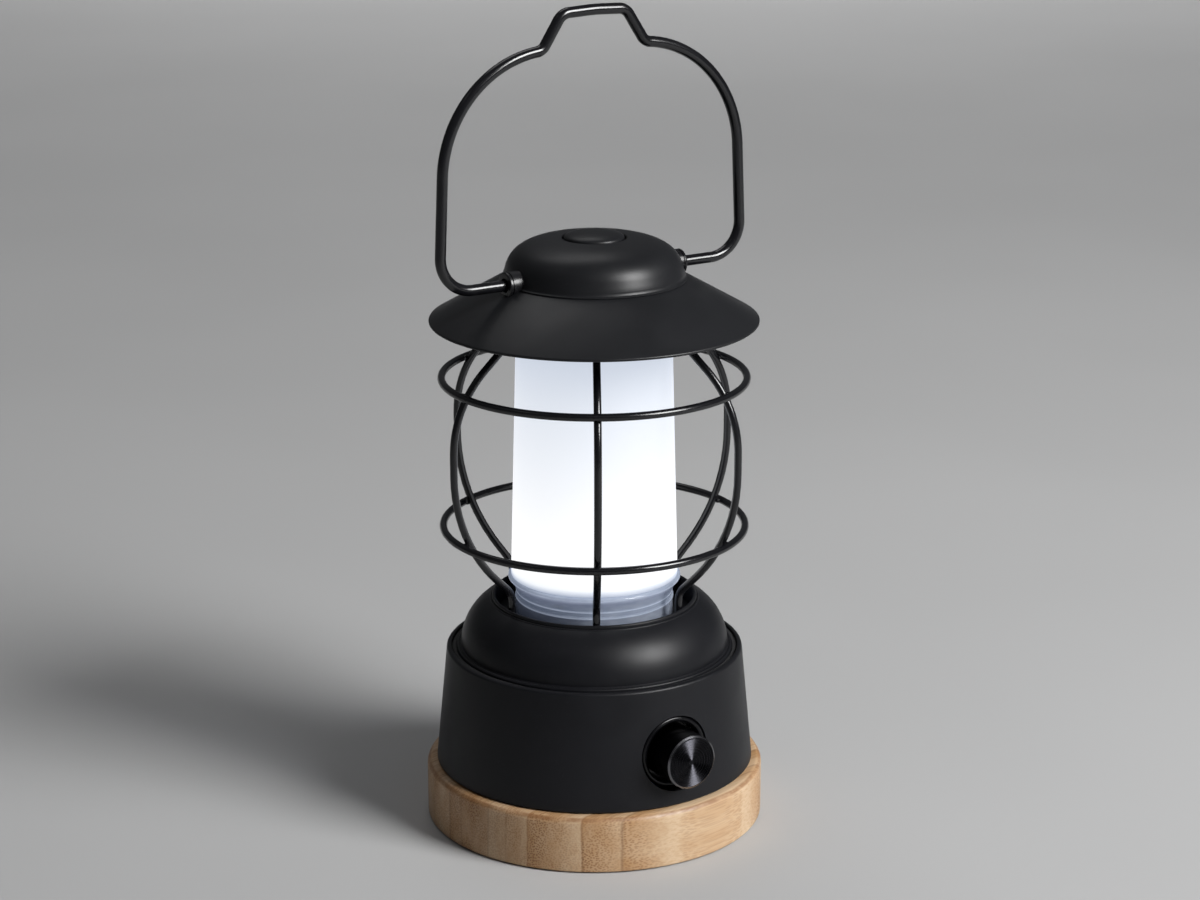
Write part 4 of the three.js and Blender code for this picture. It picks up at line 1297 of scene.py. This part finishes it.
@dataclass
class DimmerKnob(Assembly):
    """The spun-faced knob in its round gloss dish; heights run outwards along -Y."""

    axis_height: float = KNOB_HEIGHT
    radius: float = KNOB_RADIUS
    back: float = 51.6 * MM
    face: float = KNOB_FACE
    chamfer: float = KNOB_CHAMFER
    groove_pitch: float = 0.42 * MM
    groove_depth: float = 0.13 * MM
    grooves: int = 20
    dish_radius: float = 13.5 * MM
    dish_front: float = 55.8 * MM
    dish_floor: float = 50.4 * MM
    dish_back: float = 49 * MM
    dish_rim: float = 1.1 * MM
    dish_hole: float = 5 * MM
    counterbore: tuple[float, float] = (6.8 * MM, 54 * MM)
    shaft_bore: tuple[float, float] = (3.3 * MM, 64 * MM)
    face_smooth_under: float = 24.0

    def build(self) -> None:
        """Builds the knob and the dish."""
        self.keep(self.knob(), "knob_metal", "knob", body=Body.KNOB)
        self.keep(self.dish(), "bezel_gloss", "knob_bezel")

    def knob(self) -> bpy.types.Object:
        """Turns the knob, with turning grooves over its face and a bright chamfer."""
        inset = self.radius - self.chamfer
        grooves: Profile = []
        for i in range(self.grooves):
            ridge = inset - 0.25 * MM - self.groove_pitch * i
            grooves += [(ridge, self.face), (ridge - self.groove_pitch / 2, self.face - self.groove_depth)]
        (wide, wide_end), (bore, bore_end), ease = self.counterbore, self.shaft_bore, 0.3 * MM
        knob = turned("knob_turned", [
            (wide, self.back), (self.radius - ease, self.back), (self.radius, self.back + ease),
            (self.radius, self.face - self.chamfer), (inset, self.face), *grooves, (0.0, self.face),
            (0.0, bore_end), (bore, bore_end), (bore, wide_end), (wide, wide_end)],
            96, Axis.FRONT, (0.0, 0.0, self.axis_height))
        return settle(knob, self.face_smooth_under)

    def dish(self) -> bpy.types.Object:
        """Turns the dish: a rounded rim, an inner ridge and a flat floor."""
        r, front, rim, hole = self.dish_radius, self.dish_front, self.dish_rim, self.dish_hole
        return turned("knob_dish", [
            (hole, self.dish_back), (r, self.dish_back),
            *arc((r - rim, front - rim), (rim, rim), 0, 180, 14),
            (r - 2.25 * MM, front - 2.3 * MM), (r - 2.5 * MM, front - 2.5 * MM),
            (r - 2.6 * MM, front - 3.2 * MM), (r - 2.6 * MM, self.dish_floor), (hole, self.dish_floor)],
            96, Axis.FRONT, (0.0, 0.0, self.axis_height))


@dataclass
class ChargingPort(Assembly):
    """The charging port at the back: a rubber frame, the socket, and a hinged cover."""

    half: float = 13 * MM
    low: float = 27 * MM
    high: float = 45.3 * MM
    back: float = 51 * MM
    front: float = 57.2 * MM
    pocket_half: float = 11.6 * MM
    pocket_low: float = 31 * MM
    pocket_high: float = 43.7 * MM
    pocket_depth: float = 1.9 * MM
    socket: float = 37.5 * MM
    socket_width: float = 9.2 * MM
    socket_height: float = 3.5 * MM
    socket_depth: tuple[float, float] = (48 * MM, 54.8 * MM)
    tongue: tuple[float, float] = (3.2 * MM, 0.35 * MM)
    pin_y: float = 56.6 * MM
    pin_z: float = 30.4 * MM
    pin_bore: float = 0.9 * MM
    pin_half: float = 11.3 * MM
    knuckle: float = 1.4 * MM
    knuckle_half: float = 7.4 * MM
    grip_ribs: int = 3
    grip_rib: tuple[float, float, float, float] = (6 * MM, 0.7 * MM, 1.8 * MM, 33.8 * MM)
    cover_half: float = 11.2 * MM
    cover_low: float = 31.4 * MM
    cover_high: float = 43.3 * MM
    cover_back: float = 55.7 * MM
    cover_front: float = 57.5 * MM

    def build(self) -> None:
        """Builds the frame, the socket and the cover."""
        self.keep(self.surround(), "rubber", "port_frame")
        self.keep(self.socket_shell(), "plated_steel", "usb_socket")
        self.keep(self.cover(), "rubber", "port_cover", body=Body.PORT_COVER)

    def surround(self) -> bpy.types.Object:
        """Moulds the frame, with the cover's pocket, the hinge slot, the pin hole and the socket hole."""
        block = rounded_block("port_surround", (-self.half, self.back, self.low),
                              (self.half, self.front, self.high), 1.3 * MM, 4)
        floor, gap, outside = self.front - self.pocket_depth, 0.3 * MM, self.front + 5 * MM
        pocket = rounded_block("pocket", (-self.pocket_half, floor, self.pocket_low),
                               (self.pocket_half, outside, self.pocket_high), 0.5 * MM, 3)
        reach = self.knuckle + gap
        slot = rounded_block("slot", (-self.knuckle_half - gap, self.pin_y - reach, self.pin_z - reach),
                             (self.knuckle_half + gap, outside, self.pocket_low + MM), 0.1 * MM, 1)
        pin = rod("pin", self.pin_bore, (-self.pin_half, self.pin_y, self.pin_z),
                  (self.pin_half, self.pin_y, self.pin_z), 24)
        width, height = self.socket_width / 2 + gap, self.socket_height / 2 + gap
        mouth = rounded_block("mouth", (-width, self.back - MM, self.socket - height),
                              (width, outside, self.socket + height), 1.2 * MM, 4)
        return cut(block, pocket, slot, pin, mouth)

    def socket_shell(self) -> bpy.types.Object:
        """Draws the socket's steel shell, round-cornered, with its contact tongue."""
        width, height, wall = self.socket_width / 2, self.socket_height / 2, 0.4 * MM
        back, mouth = self.socket_depth
        shell = rounded_block("socket_shell", (-width, back, self.socket - height),
                              (width, mouth, self.socket + height), 1.2 * MM, 4)
        hollow = rounded_block("hollow", (-width + wall, back + MM, self.socket - height + wall),
                               (width - wall, mouth + 3.2 * MM, self.socket + height - wall), 0.9 * MM, 4)
        shell = cut(shell, hollow)
        half, thin = self.tongue
        tongue = rounded_block("tongue", (-half, back + 0.6 * MM, self.socket - thin),
                               (half, mouth - 0.9 * MM, self.socket + thin), 0.15 * MM, 2)
        return joined(shell, tongue)

    def cover(self) -> bpy.types.Object:
        """Moulds the cover: a soft-edged leaf, three grip ribs, a pull lip and the hinge knuckle."""
        leaf = rounded_block("port_flap", (-self.cover_half, self.cover_back, self.cover_low),
                             (self.cover_half, self.cover_front, self.cover_high), 0.6 * MM, 4)
        face = self.cover_front
        lip = rounded_block("lip", (-3.5 * MM, face - 0.5 * MM, self.cover_high - 1.7 * MM),
                            (3.5 * MM, face + 0.65 * MM, self.cover_high - 0.4 * MM), 0.25 * MM, 3)
        half, width, pitch, lowest = self.grip_rib
        ribs = []
        for i in range(self.grip_ribs):
            low = lowest + pitch * i
            ribs.append(rounded_block("rib", (-half, face - 0.3 * MM, low),
                                      (half, face + 0.22 * MM, low + width), 0.12 * MM, 2))
        neck = rounded_block("neck", (-self.knuckle_half, self.cover_back + 0.2 * MM, self.pin_z),
                             (self.knuckle_half, face - 0.05 * MM, self.cover_low + MM), 0.2 * MM, 2)
        barrel = rod("barrel", self.knuckle, (-self.knuckle_half, self.pin_y, self.pin_z),
                     (self.knuckle_half, self.pin_y, self.pin_z), 32)
        return joined(leaf, lip, *ribs, neck, barrel)


# ---------------------------------------------------------------- studio


@dataclass
class Softbox:
    """A soft rectangular studio light, aimed at a point; a narrow spread keeps its light near there."""

    name: str
    place: tuple[float, float, float]
    size: tuple[float, float]
    power: float
    aim: tuple[float, float, float]
    spread_degrees: float = 180.0

    def build(self) -> None:
        """Adds the light."""
        bpy.ops.object.light_add(type="AREA", location=self.place)
        light = bpy.context.active_object
        light.name = self.name
        light.data.shape = "RECTANGLE"
        light.data.size, light.data.size_y = self.size
        light.data.energy = self.power
        light.data.spread = math.radians(self.spread_degrees)
        way = Vector(self.aim) - Vector(self.place)
        light.rotation_euler = way.to_track_quat("-Z", "Y").to_euler()


@dataclass
class Studio:
    """The camera, a plain pale floor, and soft lights."""

    lens: float = 90.0
    sensor_width: float = 36.0
    camera_reach: float = 60.0
    camera_place: tuple[float, float, float] = (-0.5484, -0.9025, 0.455)
    camera_pitch: float = math.radians(73.43)
    camera_heading: float = math.radians(-31.4)
    floor_size: float = 16.0
    floor_tone: float = 0.40
    sky: Colour = (0.80, 0.82, 0.86)
    sky_power: float = 0.10
    lights: tuple[Softbox, ...] = (
        Softbox("key", (0.88, -1.66, 1.36), (1.0, 1.1), 28.0, (0.3, 0.1, 0.1), 100.0),
        Softbox("backdrop", (2.4, 3.0, 3.4), (2.4, 2.4), 40.0, (2.1, 3.0, 0.0), 70.0),
        Softbox("rear", (0.3, 1.4, 2.6), (1.6, 1.2), 10.0, (0.0, 0.1, 0.05)),
        Softbox("floor_fore", (-1.0, -4.3, 3.6), (3.0, 3.0), 52.0, (-0.8, -4.4, 0.0), 88.0),
        Softbox("floor_side", (-4.3, 0.6, 3.6), (3.0, 3.0), 46.0, (-4.4, 0.5, 0.0), 88.0),
    )

    def build(self) -> None:
        """Adds the camera, the floor, the sky and the lights."""
        bpy.context.scene.view_settings.view_transform = "Standard"
        self.camera()
        self.floor()
        self.surroundings()
        for light in self.lights:
            light.build()

    def camera(self) -> None:
        """Adds the camera, to the front left of the lantern and a little above it."""
        bpy.ops.object.camera_add(location=self.camera_place,
                                  rotation=(self.camera_pitch, 0.0, self.camera_heading))
        camera = bpy.context.active_object
        camera.name = "camera"
        camera.data.lens = self.lens
        camera.data.sensor_width = self.sensor_width
        camera.data.clip_end = self.camera_reach
        bpy.context.scene.camera = camera

    def floor(self) -> None:
        """Adds the floor, a large pale sheet, faintly mottled."""
        bpy.ops.mesh.primitive_plane_add(size=self.floor_size)
        floor = new_piece("floor")
        r = Recipe("floor_paper")
        place = r.place()
        cloud = r.spread(r.noise(place, 3.0, 2.0))
        tone = (self.floor_tone,) * 3
        colour = r.mix(cloud, tone, shaded(tone, 1.04))
        floor.data.materials.append(r.done(r.surface(Base_Color=colour, Roughness=0.75)))

    def surroundings(self) -> None:
        """Sets a plain grey sky."""
        world = bpy.data.worlds.new("studio")
        bpy.context.scene.world = world
        world.use_nodes = True
        background = world.node_tree.nodes["Background"]
        background.inputs["Color"].default_value = (*self.sky, 1.0)
        background.inputs["Strength"].default_value = self.sky_power


def main() -> None:
    """Builds the studio and the lantern, piece by piece."""
    logging.basicConfig(level=logging.INFO, format="%(name)s: %(message)s")
    Studio().build()
    rack = FinishRack()
    log.info("%d CAD nodes dressed", rack.dress_frame())
    for assembly in (BambooFoot(), Housing(), LightHead(), WireCage(), Roof(), BailHandle(), DimmerKnob(),
                     ChargingPort()):
        assembly.build()
        assembly.dress(rack)


if __name__ == "__main__":
    main()
